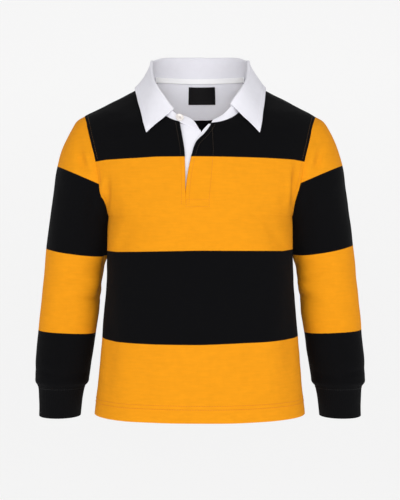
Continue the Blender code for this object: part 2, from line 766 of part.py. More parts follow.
def tape_sheet(stations):
    """The tape over the back neck seam, on the inside of the stand."""
    back = [s for s in stations if s.low.y > 6.0]
    grid = []
    for z in (TAPE_LOW, TAPE_HIGH):
        line = []
        for station in back:
            rise = (station.high - station.low).normalized()
            point = station.low + rise * (z - NECK_BACK_RISE + 1.5)
            line.append(point - station.out * TAPE_DEPTH)
        grid.append(line)
    sheet = new_sheet()
    add_grid(sheet, grid, lambda r, c: "white_tape", flip=True)
    return sheet


def neck_back_level(x):
    """Level of the back neck seam at x."""
    return NECK_BACK_RISE * (1.0 - (abs(x) / NECK_HALF_WIDTH) ** NECK_ROUNDNESS) ** (1.0 / NECK_ROUNDNESS)


def half_moon_sheet():
    """The half-moon that faces the inside of the back neck."""
    columns = 14
    rows = 4
    depth = JERSEY + LAYER_GAP + FACING_EASE
    grid = []
    for r in range(rows + 1):
        line = []
        for c in range(columns + 1):
            share = math.sin(math.pi / 2.0 * (2.0 * c / columns - 1.0))
            x = HALF_MOON_HALF_WIDTH * share
            top = neck_back_level(x) - HALF_MOON_SEAM
            low = -HALF_MOON_DROP * math.sqrt(1.0 - 0.90 * abs(share) ** HALF_MOON_FLATNESS)
            z = low + (top - low) * r / rows
            line.append(below_body("back", x, z, depth))
        grid.append(line)
    sheet = new_sheet()
    add_grid(sheet, grid, lambda r, c: "white_twill", flip=True)
    return sheet


def label_sheet():
    depth = JERSEY + FACING_EASE + FACING_CLOTH + 2.0 * LAYER_GAP + 0.2
    levels = between(LABEL_TOP - LABEL_DROP, LABEL_TOP, 2)

    def edges(_z):
        return between(LABEL_CENTRE_X - LABEL_WIDTH / 2.0, LABEL_CENTRE_X + LABEL_WIDTH / 2.0, 4)

    return strip_sheet("back", levels, edges, [depth] * 5, "black_label", flip=True)


def unit_normals(sheet):
    """Each point's normal, and its direction into the sheet where it lies on an edge."""
    normals = [Vector() for _ in sheet.points]
    directed = {}
    for face in sheet.faces:
        corners = [sheet.points[n] for n in face]
        area = Vector()
        for i in range(1, len(corners) - 1):
            area += (corners[i] - corners[0]).cross(corners[i + 1] - corners[0])
        for n in face:
            normals[n] += area
        for i, n in enumerate(face):
            directed[(face[i - 1], n)] = face
    rim = [pair for pair in directed if pair[::-1] not in directed]
    return [n.normalized() for n in normals], directed, rim


def inward_steps(sheet, directed, rim, normals):
    """For each point of the rim, the way into the sheet across its edges."""
    steps = defaultdict(Vector)
    for a, b in rim:
        along = (sheet.points[b] - sheet.points[a]).normalized()
        for n in (a, b):
            across = normals[n].cross(along)
            steps[n] += across.normalized()
    return {n: step.normalized() for n, step in steps.items()}


def mitre(normals):
    """The shared direction of a seam's walls, with cloth that faces one way counted once."""
    ways = []
    for normal in normals:
        if all(normal.dot(way) < SAME_WAY for way in ways):
            ways.append(normal)
    return sum(ways, Vector()).normalized()


def build_walls(pieces):
    """Turns each sheet to a closed wall. Sheets that share rim points share their mitre there."""
    shapes = {name: unit_normals(sheet) for name, (sheet, _) in pieces.items()}
    meeting = defaultdict(list)
    for name, (sheet, _) in pieces.items():
        normals, _, rim = shapes[name]
        for n in {n for pair in rim for n in pair}:
            meeting[key(sheet.points[n])].append(normals[n])
    for name, (sheet, thickness) in pieces.items():
        normals, directed, rim = shapes[name]
        steps = inward_steps(sheet, directed, rim, normals)
        outer = []
        inner = []
        for n, point in enumerate(sheet.points):
            normal = normals[n]
            stretch = 1.0
            place = point.copy()
            joined = meeting.get(key(point), []) if n in steps else []
            if len(joined) > 1:
                normal = mitre(joined)
                stretch = 1.0 / max(min(normal.dot(other) for other in joined), MITRE_LIMIT)
                place += steps[n] * SEAM_GAP / 2.0
            outer.append(place)
            inner.append(place - normal * thickness * stretch)
        make_object(name, sheet, outer, inner, rim)


def material(name):
    found = bpy.data.materials.get(name)
    if found:
        return found
    finish = FINISHES[name]
    made = bpy.data.materials.new(name)
    made.use_nodes = True
    made.diffuse_color = finish.colour
    shader = made.node_tree.nodes["Principled BSDF"]
    shader.inputs["Base Color"].default_value = finish.colour
    shader.inputs["Roughness"].default_value = finish.roughness
    shader.inputs["Metallic"].default_value = 0.0
    return made


def shirt_collection():
    collection = bpy.data.collections.get("rugby_shirt")
    if collection is None:
        collection = bpy.data.collections.new("rugby_shirt")
        bpy.context.scene.collection.children.link(collection)
    return collection


def make_object(name, sheet, outer, inner, rim):
    """Makes the closed wall: the outer sheet, the inner one turned round, and the rim."""
    count = len(outer)
    points = [p * MILLIMETRE for p in outer + inner]
    faces = [list(face) for face in sheet.faces]
    faces += [[n + count for n in reversed(face)] for face in sheet.faces]
    faces += [[b, a, a + count, b + count] for a, b in rim]
    mesh = bpy.data.meshes.new(name)
    mesh.from_pydata(points, [], faces)
    slots = sorted(set(sheet.finishes), key=sheet.finishes.index)
    for slot in slots:
        mesh.materials.append(material(slot))
    rim_slots = rim_finishes(sheet, rim)
    for polygon, finish in zip(mesh.polygons, sheet.finishes * 2 + rim_slots):
        polygon.material_index = slots.index(finish)
    mesh.shade_smooth()
    mesh.set_sharp_from_angle(angle=math.radians(50.0))
    shirt_collection().objects.link(bpy.data.objects.new(name, mesh))


def rim_finishes(sheet, rim):
    owner = {}
    for face, finish in zip(sheet.faces, sheet.finishes):
        for i, n in enumerate(face):
            owner[(face[i - 1], n)] = finish
    return [owner[pair] for pair in rim]


def make_button(stations):
    """The collar button, flat on the outside of the stand under the wearer's right point."""
    nearest = min(stations[3:], key=lambda s: abs(s.low.x - BUTTON_X) + (0 if s.low.y < 0 else 999))
    middle = nearest.low.lerp(nearest.high, BUTTON_HEIGHT_SHARE)
    rise = (nearest.high - nearest.low).normalized()
    out = (nearest.out - rise * nearest.out.dot(rise)).normalized()
    centre = middle + out * (LAYER_GAP + BUTTON_THICKNESS / 2.0 + BUTTON_SHANK)
    bpy.ops.mesh.primitive_cylinder_add(
        vertices=BUTTON_SIDES,
        radius=BUTTON_DIAMETER / 2.0 * MILLIMETRE,
        depth=BUTTON_THICKNESS * MILLIMETRE,
        location=centre * MILLIMETRE,
        rotation=out.to_track_quat("Z", "Y").to_euler(),
    )
    button = bpy.context.active_object
    button.name = "neck_button"
    button.data.materials.append(material("cream_button"))
    rounded = button.modifiers.new("rounded_rim", "BEVEL")
    rounded.width = 0.6 * MILLIMETRE
    rounded.segments = 2
    rounded.limit_method = "ANGLE"
    for collection in list(button.users_collection):
        collection.objects.unlink(button)
    shirt_collection().objects.link(button)


def main():
    for item in list(bpy.data.objects):
        bpy.data.objects.remove(item)
    rows = body_rows()
    front, necks = front_sheet(rows)
    back, back_neck = back_sheet(rows)
    sleeve = sleeve_sheet(rows)
    cuff = cuff_sheet()
    stations = collar_stations(necks, back_neck)
    pieces = {
        "front": (front, JERSEY),
        "back": (back, JERSEY),
        "sleeve_left": (sleeve, JERSEY),
        "sleeve_right": (mirrored(sleeve), JERSEY),
        "cuff_left": (cuff, RIB),
        "cuff_right": (mirrored(cuff), RIB),
        "collar_stand": (stand_sheet(stations), COLLAR_CLOTH),
        "collar_fall": (fall_sheet(stations, [front, back]), COLLAR_CLOTH),
        "placket_under": (under_placket_sheet(), FACING_CLOTH),
        "placket_facing": (facing_sheet(), FACING_CLOTH),
        "neck_tape": (tape_sheet(stations), FACING_CLOTH),
        "half_moon": (half_moon_sheet(), FACING_CLOTH),
        "neck_label": (label_sheet(), FACING_CLOTH),
    }
    build_walls(pieces)
    make_button(stations)


main()
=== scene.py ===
# %% [markdown]
# # A child's rugby shirt
#
# A rugby shirt is cut from heavy striped cotton jersey: a front, a back and two long sleeves, with
# a ribbed cuff on each. The collar and the placket are white cotton twill, because a knit would
# stretch under the buttons. We lay each piece of cloth out as a fine grid of points on the same
# form as the solid that it covers, press its folds in, and sew it on with real stitches.
# Lengths are in millimetres until a mesh is made.

import bisect
import math
from collections import defaultdict, namedtuple

import bpy
import numpy as np
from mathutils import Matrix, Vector, noise
from mathutils.bvhtree import BVHTree


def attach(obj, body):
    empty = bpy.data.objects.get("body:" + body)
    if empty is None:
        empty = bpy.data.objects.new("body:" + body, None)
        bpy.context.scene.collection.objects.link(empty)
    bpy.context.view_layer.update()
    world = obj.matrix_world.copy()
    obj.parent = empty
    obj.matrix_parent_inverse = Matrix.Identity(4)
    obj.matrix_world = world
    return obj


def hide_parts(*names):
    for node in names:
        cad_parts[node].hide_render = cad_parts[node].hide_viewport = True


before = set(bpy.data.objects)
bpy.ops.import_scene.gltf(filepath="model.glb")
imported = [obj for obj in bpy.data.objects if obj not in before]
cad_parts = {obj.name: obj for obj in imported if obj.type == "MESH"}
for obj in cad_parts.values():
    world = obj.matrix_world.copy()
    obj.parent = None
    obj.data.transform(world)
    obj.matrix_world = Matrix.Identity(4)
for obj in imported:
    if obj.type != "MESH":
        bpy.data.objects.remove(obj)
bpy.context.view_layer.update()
MILLIMETRE = 0.001
print("solids:", ", ".join(sorted(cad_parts)))

# %% [markdown]
# ## Colour
#
# Cloth is matched to a swatch, and a swatch is written as an sRGB hex value. The renderer
# works in linear light, so one function turns the one to the other.

# %% Colour
BLACK = "#08080A"
GOLD = "#E69416"


def colour(swatch):
    """The linear colour of an sRGB hex value."""
    parts = [int(swatch[i : i + 2], 16) / 255.0 for i in (1, 3, 5)]
    linear = [p / 12.92 if p <= 0.04045 else ((p + 0.055) / 1.055) ** 2.4 for p in parts]
    return (*linear, 1.0)


print("gold swatch in linear light:", [round(v, 3) for v in colour(GOLD)[:3]])


# %% Nodes
def add(tree, kind, inputs=None, **settings):
    """Adds a node with its settings; an input is a value, or the output that it is linked to."""
    made = tree.nodes.new(kind)
    for name, value in settings.items():
        setattr(made, name, value)
    for name, value in (inputs or {}).items():
        if isinstance(value, bpy.types.NodeSocket):
            tree.links.new(value, made.inputs[name])
        else:
            made.inputs[name].default_value = value
    return made


def calculate(tree, operation, *terms):
    """The result of an operation on one or two terms, each of them a value or an output."""
    return add(tree, "ShaderNodeMath", dict(enumerate(terms)), operation=operation).outputs[0]


def waves(tree, source, pitch):
    """A wave along one coordinate, from -1 to 1, once in each pitch."""
    return calculate(tree, "SINE", calculate(tree, "MULTIPLY", source, 2.0 * math.pi / pitch))


def new_finish(name):
    """An empty material with its shader and the cloth's own coordinates, in millimetres."""
    finish = bpy.data.materials.new(name)
    finish.use_nodes = True
    tree = finish.node_tree
    shader = tree.nodes["Principled BSDF"]
    uv = add(tree, "ShaderNodeUVMap", uv_map="cloth").outputs[0]
    scaled = add(tree, "ShaderNodeVectorMath", {0: uv, "Scale": 1000.0}, operation="SCALE")
    split = add(tree, "ShaderNodeSeparateXYZ", {0: scaled.outputs[0]})
    return finish, tree, shader, split.outputs["X"], split.outputs["Y"]


def set_values(shader, values):
    """Sets plain values on the shader's sockets."""
    for socket, value in values.items():
        shader.inputs[socket].default_value = value


def add_relief(tree, shader, height, strength, distance):
    """Gives the surface the relief of a height, which stands for a distance in millimetres."""
    levels = {"Height": height, "Strength": strength, "Distance": distance * MILLIMETRE}
    tree.links.new(add(tree, "ShaderNodeBump", levels).outputs[0], shader.inputs["Normal"])


print("a cloth's coordinates are read in millimetres")

# %% [markdown]
# ## Heavy cotton jersey in broad bands
#
# Weft-knitted jersey shows columns of small V-shaped stitches, the wales, and rows of them, the
# courses. Brushed cotton yarn scatters light, so it is matt with a faint bloom at grazing angles.
# The bands are knitted in, so their edge is as crisp as one course. Each panel carries its distance
# to the nearest band edge in an attribute called gold, and the shader cuts the colour there.

# %% Knit and yarn
# Wales are 1.2 mm apart and courses 0.9 mm on the real cloth. Both are drawn a third coarser, so
# that they show at all.
WALE = 1.6
COURSE = 1.2
LOOP_LEAN = 1.2
LOOP_HEIGHT = 0.35


def knit_height(tree, u, v, wale, course):
    """Height of a knit stitch: a rounded column whose loops lean to a V on its two sides."""
    folded = calculate(tree, "PINGPONG", calculate(tree, "DIVIDE", u, wale), 0.5)
    lean = calculate(tree, "MULTIPLY", folded, course * LOOP_LEAN)
    loop = waves(tree, calculate(tree, "ADD", v, lean), course)
    column = waves(tree, folded, 1.0)
    return calculate(tree, "ADD", column, calculate(tree, "MULTIPLY", loop, LOOP_HEIGHT))


def shirt_knit(tree, u, v):
    """The stitches of the shirt's own jersey."""
    return knit_height(tree, u, v, WALE, COURSE)


def yarn_tint(tree, base, amount, size, stretch=(1.0, 1.0, 1.0)):
    """Breaks an even colour up with the unevenness of spun yarn, of a size in millimetres."""
    here = add(tree, "ShaderNodeTexCoord").outputs["Object"]
    rows = add(tree, "ShaderNodeVectorMath", {0: here, 1: stretch}, operation="MULTIPLY")
    grain = {"Vector": rows.outputs[0], "Scale": 1000.0 / size, "Detail": 4.0}
    cloud = add(tree, "ShaderNodeTexNoise", grain).outputs[0]
    value = add(tree, "ShaderNodeMapRange", {0: cloud, 3: 1.0 - amount, 4: 1.0 + amount}).outputs[0]
    return add(tree, "ShaderNodeHueSaturation", {"Value": value, "Color": base}).outputs[0]


print("jersey: wale", WALE, "mm, course", COURSE, "mm")

# %% Striped jersey
# Brushed jersey is matt, with a faint bloom where it turns away. Its colour changes over two thirds
# of a millimetre at a band's edge, and streaks of yarn run along the courses.
BAND_EDGE = 0.35
ALONG_COURSES = (0.16, 0.16, 1.0)

striped_jersey, tree, shader, u, v = new_finish("heavy_cotton_jersey")
gold_mm = add(tree, "ShaderNodeAttribute", attribute_name="gold").outputs["Fac"]
edge = add(tree, "ShaderNodeMapRange", {0: gold_mm, 1: -BAND_EDGE, 2: BAND_EDGE}).outputs[0]
two_colours = {"Factor": edge, "A": colour(BLACK), "B": colour(GOLD)}
bands = add(tree, "ShaderNodeMix", two_colours, data_type="RGBA").outputs["Result"]
streaked = yarn_tint(tree, bands, amount=0.07, size=2.6, stretch=ALONG_COURSES)
clouded = yarn_tint(tree, streaked, amount=0.05, size=9.0)
tree.links.new(clouded, shader.inputs["Base Color"])
add_relief(tree, shader, shirt_knit(tree, u, v), strength=0.35, distance=0.25)
set_values(shader, {"Roughness": 0.9, "IOR": 1.46, "Specular IOR Level": 0.08})
set_values(shader, {"Sheen Weight": 0.012, "Sheen Roughness": 0.5})
print(f"band edges blend over {2.0 * BAND_EDGE} mm")

# %% [markdown]
# ## The other cloths
#
# Two-by-two rib for the cuffs stands up in ridges about 3 mm apart. Twill is woven, with fine
# ridges that climb at 45 degrees. The neck tape is a narrow herringbone, twill that turns back on
# itself, and the label is satin, whose long floats give a soft gloss.

# %% Surfaces of the other cloths
RIB_PITCH = 3.0
TWILL_PITCH = 1.1
HERRINGBONE_WIDTH = 3.5
FINE_WALE = 1.2
FINE_COURSE = 1.0
FLOAT_PITCH = 0.8


def fine_knit(tree, u, v):
    """The stitches of a finer jersey."""
    return knit_height(tree, u, v, FINE_WALE, FINE_COURSE)


def twill(tree, u, v):
    """Ridges that climb at 45 degrees."""
    return waves(tree, calculate(tree, "ADD", u, v), TWILL_PITCH)


def herringbone(tree, u, v):
    """Twill that turns back on itself every few millimetres."""
    return twill(tree, u, calculate(tree, "PINGPONG", v, HERRINGBONE_WIDTH))


def satin_floats(tree, u, _v):
    """Fine lines, because the floats of satin lie side by side."""
    return waves(tree, u, FLOAT_PITCH)


def plain_cloth(name, swatch, height, strength, distance, roughness, sheen):
    """A cloth of one dye, with its relief and gloss."""
    finish, tree, shader, u, v = new_finish(name)
    dyed = yarn_tint(tree, colour(swatch), amount=0.03, size=7.0)
    tree.links.new(dyed, shader.inputs["Base Color"])
    add_relief(tree, shader, height(tree, u, v), strength, distance)
    set_values(shader, {"Roughness": roughness, "Specular IOR Level": 0.1, "Sheen Weight": sheen})
    print(name, "has a roughness of", roughness)
    return finish


# %% Rib, twill, tape, lining and label
# The numbers are the strength and depth of the relief, the roughness and the sheen.
# Rib is the same yarn as the black bands, and its deep ridges catch the light in lines.
rib_knit = plain_cloth("cotton_rib", "#060608", shirt_knit, 0.35, 0.25, 0.9, 0.015)
# Twill is smooth and dense, so it is the cleanest white.
white_twill = plain_cloth("white_cotton_twill", "#E7E6ED", twill, 0.25, 0.15, 0.8, 0.03)
# Herringbone tape shows a line wherever its twill turns back.
neck_tape_cloth = plain_cloth("herringbone_tape", "#FDFDFF", herringbone, 0.4, 0.2, 0.85, 0.03)
# The lining is a finer jersey than the shirt's own, so it looks smoother.
lining_jersey = plain_cloth("white_cotton_jersey", "#F6F7FF", fine_knit, 0.3, 0.2, 0.9, 0.05)
# Satin has no ridges to speak of, so it is the glossiest of the cloths.
label_satin = plain_cloth("black_polyester_satin", "#131214", satin_floats, 0.15, 0.1, 0.45, 0.0)

# %% [markdown]
# ## Thread and button
#
# Sewing thread is twisted polyester, with a soft shine. The collar button is cast resin, a dense
# cream plastic that takes a polish.

# %% Thread and resin
THREADS = {
    "gold": "#D2770F",
    "brown": "#5E4018",
    "dark_brown": "#33240F",
    "black": "#0E0E10",
    "white": "#F2F1F8",
}


def smooth_finish(name, swatch, amount, size, values):
    """A material without relief, for what is smoother than cloth."""
    finish = bpy.data.materials.new(name)
    finish.use_nodes = True
    tree = finish.node_tree
    shader = tree.nodes["Principled BSDF"]
    tree.links.new(yarn_tint(tree, colour(swatch), amount, size), shader.inputs["Base Color"])
    set_values(shader, values)
    return finish


# Twisted thread is smoother than the cloth that it lies on, so each stitch has a soft highlight.
threads = {
    name: smooth_finish(name + "_polyester_thread", swatch, 0.06, 2.0, {"Roughness": 0.55})
    for name, swatch in THREADS.items()
}
# Polished resin has a clear highlight, and lets a little light in below its surface.
RESIN = {
    "Roughness": 0.28,
    "IOR": 1.54,
    "Subsurface Weight": 0.1,
    "Subsurface Radius": (0.001, 0.001, 0.001),
}
button_resin = smooth_finish("polished_polyester_resin", "#EDE6E1", 0.04, 3.0, RESIN)
print("threads:", ", ".join(threads))

# %% [markdown]
# ## The form of the body
#
# The shirt is filled out as if it were worn, so its level sections are rounded ovals. A short
# table gives each section's depth and roundness, and the side seams and the armholes give its
# width. The same values shape the solids, so the cloth lies on them without any fitting.

# %% Levels and widths
# Thickness of the solids' cloths, and the gaps between them
JERSEY = 1.6
COLLAR_CLOTH = 1.8
FACING_CLOTH = 1.0
SEAM_GAP = 0.36
LAYER_GAP = 0.3

# Levels and widths that drive the body
HEM_LEVEL = -427.0
LOW_STRIPE_LEVEL = -332.5
MIDDLE_STRIPE_LEVEL = -220.5
ARMPIT_LEVEL = -177.0
ARMPIT_X = 118.6
YOKE_STRIPE_LEVEL = -105.5
SHOULDER_TIP_LEVEL = -45.0
SHOULDER_TIP_X = 149.5
NECK_HALF_WIDTH = 62.0
SHOULDER_SLOPE = -SHOULDER_TIP_LEVEL / (SHOULDER_TIP_X - NECK_HALF_WIDTH)
NECK_FRONT_DROP = 63.0
NECK_FRONT_DEPTH = 72.0
NECK_FRONT_CURVE = 0.8
NECK_BACK_RISE = 7.0
NECK_BACK_DEPTH = 57.0
NECK_BACK_LEAN = 0.3
NECK_BACK_GAIN = 17.5
NECK_BACK_CURVE = 0.9
NECK_ROUNDNESS = 2.6
ARMHOLE_FRONT_DEPTH = 43.0
ARMHOLE_BACK_DEPTH = 46.0
SLIT_END_LEVEL = -156.0
PLACKET_END_LEVEL = -167.0

# Grid of the pieces
FRONT_COLUMNS = 10
BACK_COLUMNS = 20
ARMHOLE_ROWS = 5
SHOULDER_ROWS = 6
FAN_ANGLE = 60.0
BODY_STEPS = (5, 6, 3)
ARMPIT_ROW = sum(BODY_STEPS)
print("the body is", NECK_BACK_RISE - HEM_LEVEL, "mm long at its back")


# %% Sections, side seams, armholes and placket
def table(kind, rows):
    """The rows of a table, with a name for each value."""
    return [kind(*row) for row in rows]


Depth = namedtuple("Depth", "level front back roundness")
DEPTHS = table(Depth, [
    (HEM_LEVEL, 93, 86, 2.35),
    (-380, 90.5, 83.5, 2.35),
    (LOW_STRIPE_LEVEL, 88, 81.5, 2.35),
    (-280, 85, 79.5, 2.35),
    (MIDDLE_STRIPE_LEVEL, 83, 78.5, 2.35),
    (ARMPIT_LEVEL, 82.5, 80, 2.3),
    (-140, 82, 81, 2.2),
    (YOKE_STRIPE_LEVEL, 80.5, 80, 2.1),
    (-80, 77, 77.5, 2),
    (-NECK_FRONT_DROP, 72, 74.5, 2),
])

Side = namedtuple("Side", "level half_width")
SIDES = table(Side, [
    (HEM_LEVEL, 134.3),
    (-408, 133),
    (-387, 130.6),
    (-366, 128.7),
    (-346, 127.2),
    (-325, 125.4),
    (-283, 122.2),
    (-250, 120.6),
    (-218.5, 119.8),
    (-196, 119.3),
    (ARMPIT_LEVEL, ARMPIT_X),
])

Armhole = namedtuple("Armhole", "level front_x back_x")
ARMHOLE = table(Armhole, [
    (ARMPIT_LEVEL, ARMPIT_X, ARMPIT_X),
    (-171, 119, 118.8),
    (-160, 121.2, 122.6),
    (-136, 126.8, 130.6),
    (YOKE_STRIPE_LEVEL, 131.8, 136.8),
    (-80, 138, 142),
    (-60, 143.8, 146),
    (SHOULDER_TIP_LEVEL, SHOULDER_TIP_X, SHOULDER_TIP_X),
])

# The two edges of the open placket, and how far its facing shows past the upper one
Placket = namedtuple("Placket", "level lower_edge upper_edge facing_shows")
PLACKET = table(Placket, [
    (SLIT_END_LEVEL, -17.8, -17.8, 0.4),
    (-143, -18.1, -16.7, 0.4),
    (-127, -18.3, -15, 0.4),
    (-111, -18.7, -12.2, 0.5),
    (-101.6, -19, -9.6, 0.7),
    (-91.3, -20.3, -6.6, 1.2),
    (-84.4, -21.6, -3, 2.2),
    (-79, -22.5, 2.8, 4),
    (-71.5, -24, 9.4, 6),
    (-66, -25, 13, 5),
    (-58, -26.2, 16.4, 1.6),
])
print("sections:", len(DEPTHS), "of depth and", len(SIDES), "of width")

# %% [markdown]
# ## The form of the sleeves and the collar
#
# A sleeve is a tube through a row of tilted rings, from the armhole to the wrist. The collar has a
# stand, which rises from the neck seam, and a fall, which rolls over the stand and lies on the
# chest and the back in two points.

# %% Rings and folds
# Front view of the sleeve's rings, from the cap to the cuff seam
Ring = namedtuple("Ring", "outer_x outer_z inner_x inner_z centre_y half_depth front_dip side_rise")
SLEEVE = table(Ring, [
    (160, -51.8, 120.9, -183, 1.5, 45, 0, 8.5),
    (168.5, -65, 121.5, -189, 3, 45, 0, 10),
    (176.3, -80, 121.6, -195, 5, 45, 0, 9.5),
    (182.3, -95.5, 121.6, -201, 6.5, 44.5, 0.5, 8),
    (186.8, -113, 121.5, -207, 8.5, 44, 1, 6),
    (190.2, -134, 121.4, -212, 11, 43.5, 2, 4),
    (194, -158, 121.5, -216, 13.5, 43, 3, 2),
    (198, -186, 121.6, -219.5, 16, 42.5, 3.5, 1),
    (202.8, -219, 122.2, -224, 18.5, 42, 4, 0),
    (205.5, -249, 126.2, -252, 20, 41, 3, 0),
    (208.5, -278, 131, -281, 20.5, 39.5, 2, 0),
    (211, -304, 135, -307, 20, 38, 1.5, 0),
    (213, -325.5, 138.2, -328, 19, 37, 1, 0),
    (214.8, -350, 141.2, -352, 17.5, 35.5, 0.5, 0),
    (216, -373, 144.4, -374.5, 16, 34, 0, 0),
    (216.2, -386, 146.9, -386.5, 15, 33, 0, 0),
    (213.6, -394.5, 150.2, -394.5, 14.5, 30.5, 0, 0),
])
CUFF = table(Ring, [
    (211.9, -399, 151.9, -399, 14.3, 29, 0, 0),
    (211.2, -411, 154.3, -411, 14, 28.2, 0, 0),
    (210.7, -423, 155.7, -423, 13.7, 27.8, 0, 0),
    (210.9, -435, 156.9, -435, 13.5, 27.5, 0, 0),
])
ARMHOLE_OVAL = Ring(SHOULDER_TIP_X, SHOULDER_TIP_LEVEL, ARMPIT_X, ARMPIT_LEVEL, 1.5, 44.5, 0.0, 5.5)
CAP_RINGS = 5.0
UPPER_BAND_OUTER_X = 184.7
UPPER_BAND_LEVEL = -111.0
UPPER_BAND_SLOPE = 0.434
ELBOW_BAND_RING = 9
FOREARM_BAND_RING = 13

# Soft folds in the sleeve: place along the rings, angle from the outer line through the front
Fold = namedtuple("Fold", "ring angle length width depth")
SLEEVE_FOLDS = table(Fold, [
    (1.2, 62, 1, 26, 2.4),
    (9.6, 150, 0.32, 46, 2.6),
    (10.4, 128, 0.34, 40, -1.6),
    (11, 152, 0.36, 44, 2.4),
    (10.2, 205, 0.40, 46, 2.2),
    (14.6, 60, 0.45, 50, -1),
])
BodyFold = namedtuple("BodyFold", "x z lean length width depth")
FRONT_FOLDS = table(BodyFold, [
    (108, -168, 0.25, 46, 9, 2.2),
    (112, -300, 0.05, 70, 12, 1.8),
])
print("rings:", len(SLEEVE), "down the sleeve and", len(CUFF), "down the cuff")

# %% Roll and edge of the collar
# By angle round the neck from the centre back: rise of the fold above the neck seam, and how far
# the fold leans out and back
Roll = namedtuple("Roll", "angle rise out back")
ROLL = table(Roll, [
    (0, 36.5, 3.5, 0),
    (45, 34, 2.8, 0),
    (80, 27.5, 1, 1),
    (100, 27.5, 0.2, 2),
    (120, 29, 0, 3),
    (135, 25, 0, 3.8),
    (147, 16, 0, 4),
    (158, 9.8, 0, 5.5),
    (168, 5.2, 0, 3),
    (180, 3, 0, 1.8),
])
# The outer edge of the collar where it lies on the chest, the shoulder and the back
Edge = namedtuple("Edge", "share x y z")
COLLAR_EDGE = table(Edge, [
    (0.00, 69.5, -72, -73.5),
    (0.06, 72.5, -61, -60),
    (0.12, 76.5, -45, -44),
    (0.17, 80.5, -27, -28),
    (0.21, 82.5, -9, -15.5),
    (0.25, 82, 9, -13.5),
    (0.31, 75, 28, -12),
    (0.38, 56, 46, -9),
    (0.45, 27, 58, -6),
    (0.50, 0, 61, -5),
])
LEAF_CORNER_X = 30.0
LEFT_LEAF_SPREAD = 4.0
LEFT_LEAF_REACH = 0.25
FOLD_RADIUS = 2.1
FOLD_FOOT = 1.0
LEAF_EASE = 1.35
ROLL_TANGENT = 0.14
LYING_TANGENT = 0.30
SHOULDER_LIFT = 2.4
SHOULDER_LIFT_REACH = 18.0
STAND_ROWS = 3
LEAF_ROWS = 6

# The buttonless side's stand runs on over the lower placket
StandEnd = namedtuple("StandEnd", "x low high depth")
STAND_END = table(StandEnd, [
    (-18, -63.6, -49.3, 2.2),
    (-6.5, -67.8, -55.3, 3),
    (-0.8, -70.2, -65.6, 3),
])
STAND_LEAN = 0.6
print("the collar's points lie", 2.0 * COLLAR_EDGE[0].x, "mm apart")

# %% Placket strips, tape, lining, label and button
UNDER_PLACKET_TUCK = 5.0
UNDER_PLACKET_STEP = 1.0
UNDER_PLACKET_ROWS = 9
UNDER_PLACKET_LAST_ROW = -72.0
# The under placket's top follows the stand: a gap, its fall and the share of it at each column
UNDER_TOP_LEVEL = -71.0
UNDER_TOP_GAP = 0.3
UNDER_TOP_FALL = 6.6
UNDER_TOP_SHARES = (-0.4, -0.55, 0.35, 1.0)
UnderEdge = namedtuple("UnderEdge", "level x")
UNDER_EDGE = table(UnderEdge, [
    (PLACKET_END_LEVEL, 12),
    (-130, 11),
    (-100, 8),
    (-85, 5),
    (-73, 1.2),
    (-60, -3),
])
FACING_FAR_EDGE = 14.6
FACING_TOP_LEVEL = -62.6
FACING_FLARE_LEVEL = -80.0
FACING_FLARE = 0.25
FACING_ROWS = 14

TAPE_LEVELS = (3.9, 7.25, 10.6)
TAPE_LIFT = 1.5
TAPE_END_Y = 6.0
TAPE_DEPTH = COLLAR_CLOTH + FACING_CLOTH + 3.0 * LAYER_GAP
FACING_EASE = 0.4
HALF_MOON_DROP = 40.3
HALF_MOON_HALF_WIDTH = 58.5
HALF_MOON_FLATNESS = 2.8
HALF_MOON_FULLNESS = 0.90
HALF_MOON_SEAM = 0.6
HALF_MOON_COLUMNS = 14
HALF_MOON_ROWS = 4
LABEL_CENTRE_X = 2.7
LABEL_WIDTH = 37.0
LABEL_TOP = 2.6
LABEL_DROP = 22.0
LABEL_EASE = 0.2
LABEL_COLUMNS = 4
LABEL_ROWS = 2
BUTTON_THICKNESS = 2.4
BUTTON_X = -27.5
BUTTON_HEIGHT_SHARE = 0.36
BUTTON_SHANK = 0.7
print("the label is", LABEL_WIDTH, "mm wide and the half-moon", 2.0 * HALF_MOON_HALF_WIDTH)


# %% Smooth functions through the tables
def smooth(rows, place, value):
    """A smooth function through one column of a table, by another, in rising order of place."""
    pairs = sorted((getattr(row, place), getattr(row, value)) for row in rows)
    places = [pair[0] for pair in pairs]
    values = [pair[1] for pair in pairs]
    last = len(pairs) - 1
    steps = [(values[i + 1] - values[i]) / (places[i + 1] - places[i]) for i in range(last)]
    slopes = [steps[0]]
    for before, after in zip(steps, steps[1:]):
        slopes.append(0.0 if before * after <= 0.0 else 2.0 * before * after / (before + after))
    slopes.append(steps[-1])

    def at(where):
        where = min(max(where, places[0]), places[-1])
        i = min(max(bisect.bisect_right(places, where) - 1, 0), last - 1)
        span = places[i + 1] - places[i]
        t = (where - places[i]) / span
        start = (1.0 + 2.0 * t) * (1.0 - t) ** 2 * values[i] + t * (1.0 - t) ** 2 * span * slopes[i]
        end = t * t * (3.0 - 2.0 * t) * values[i + 1] - t * t * (1.0 - t) * span * slopes[i + 1]
        return start + end

    return at


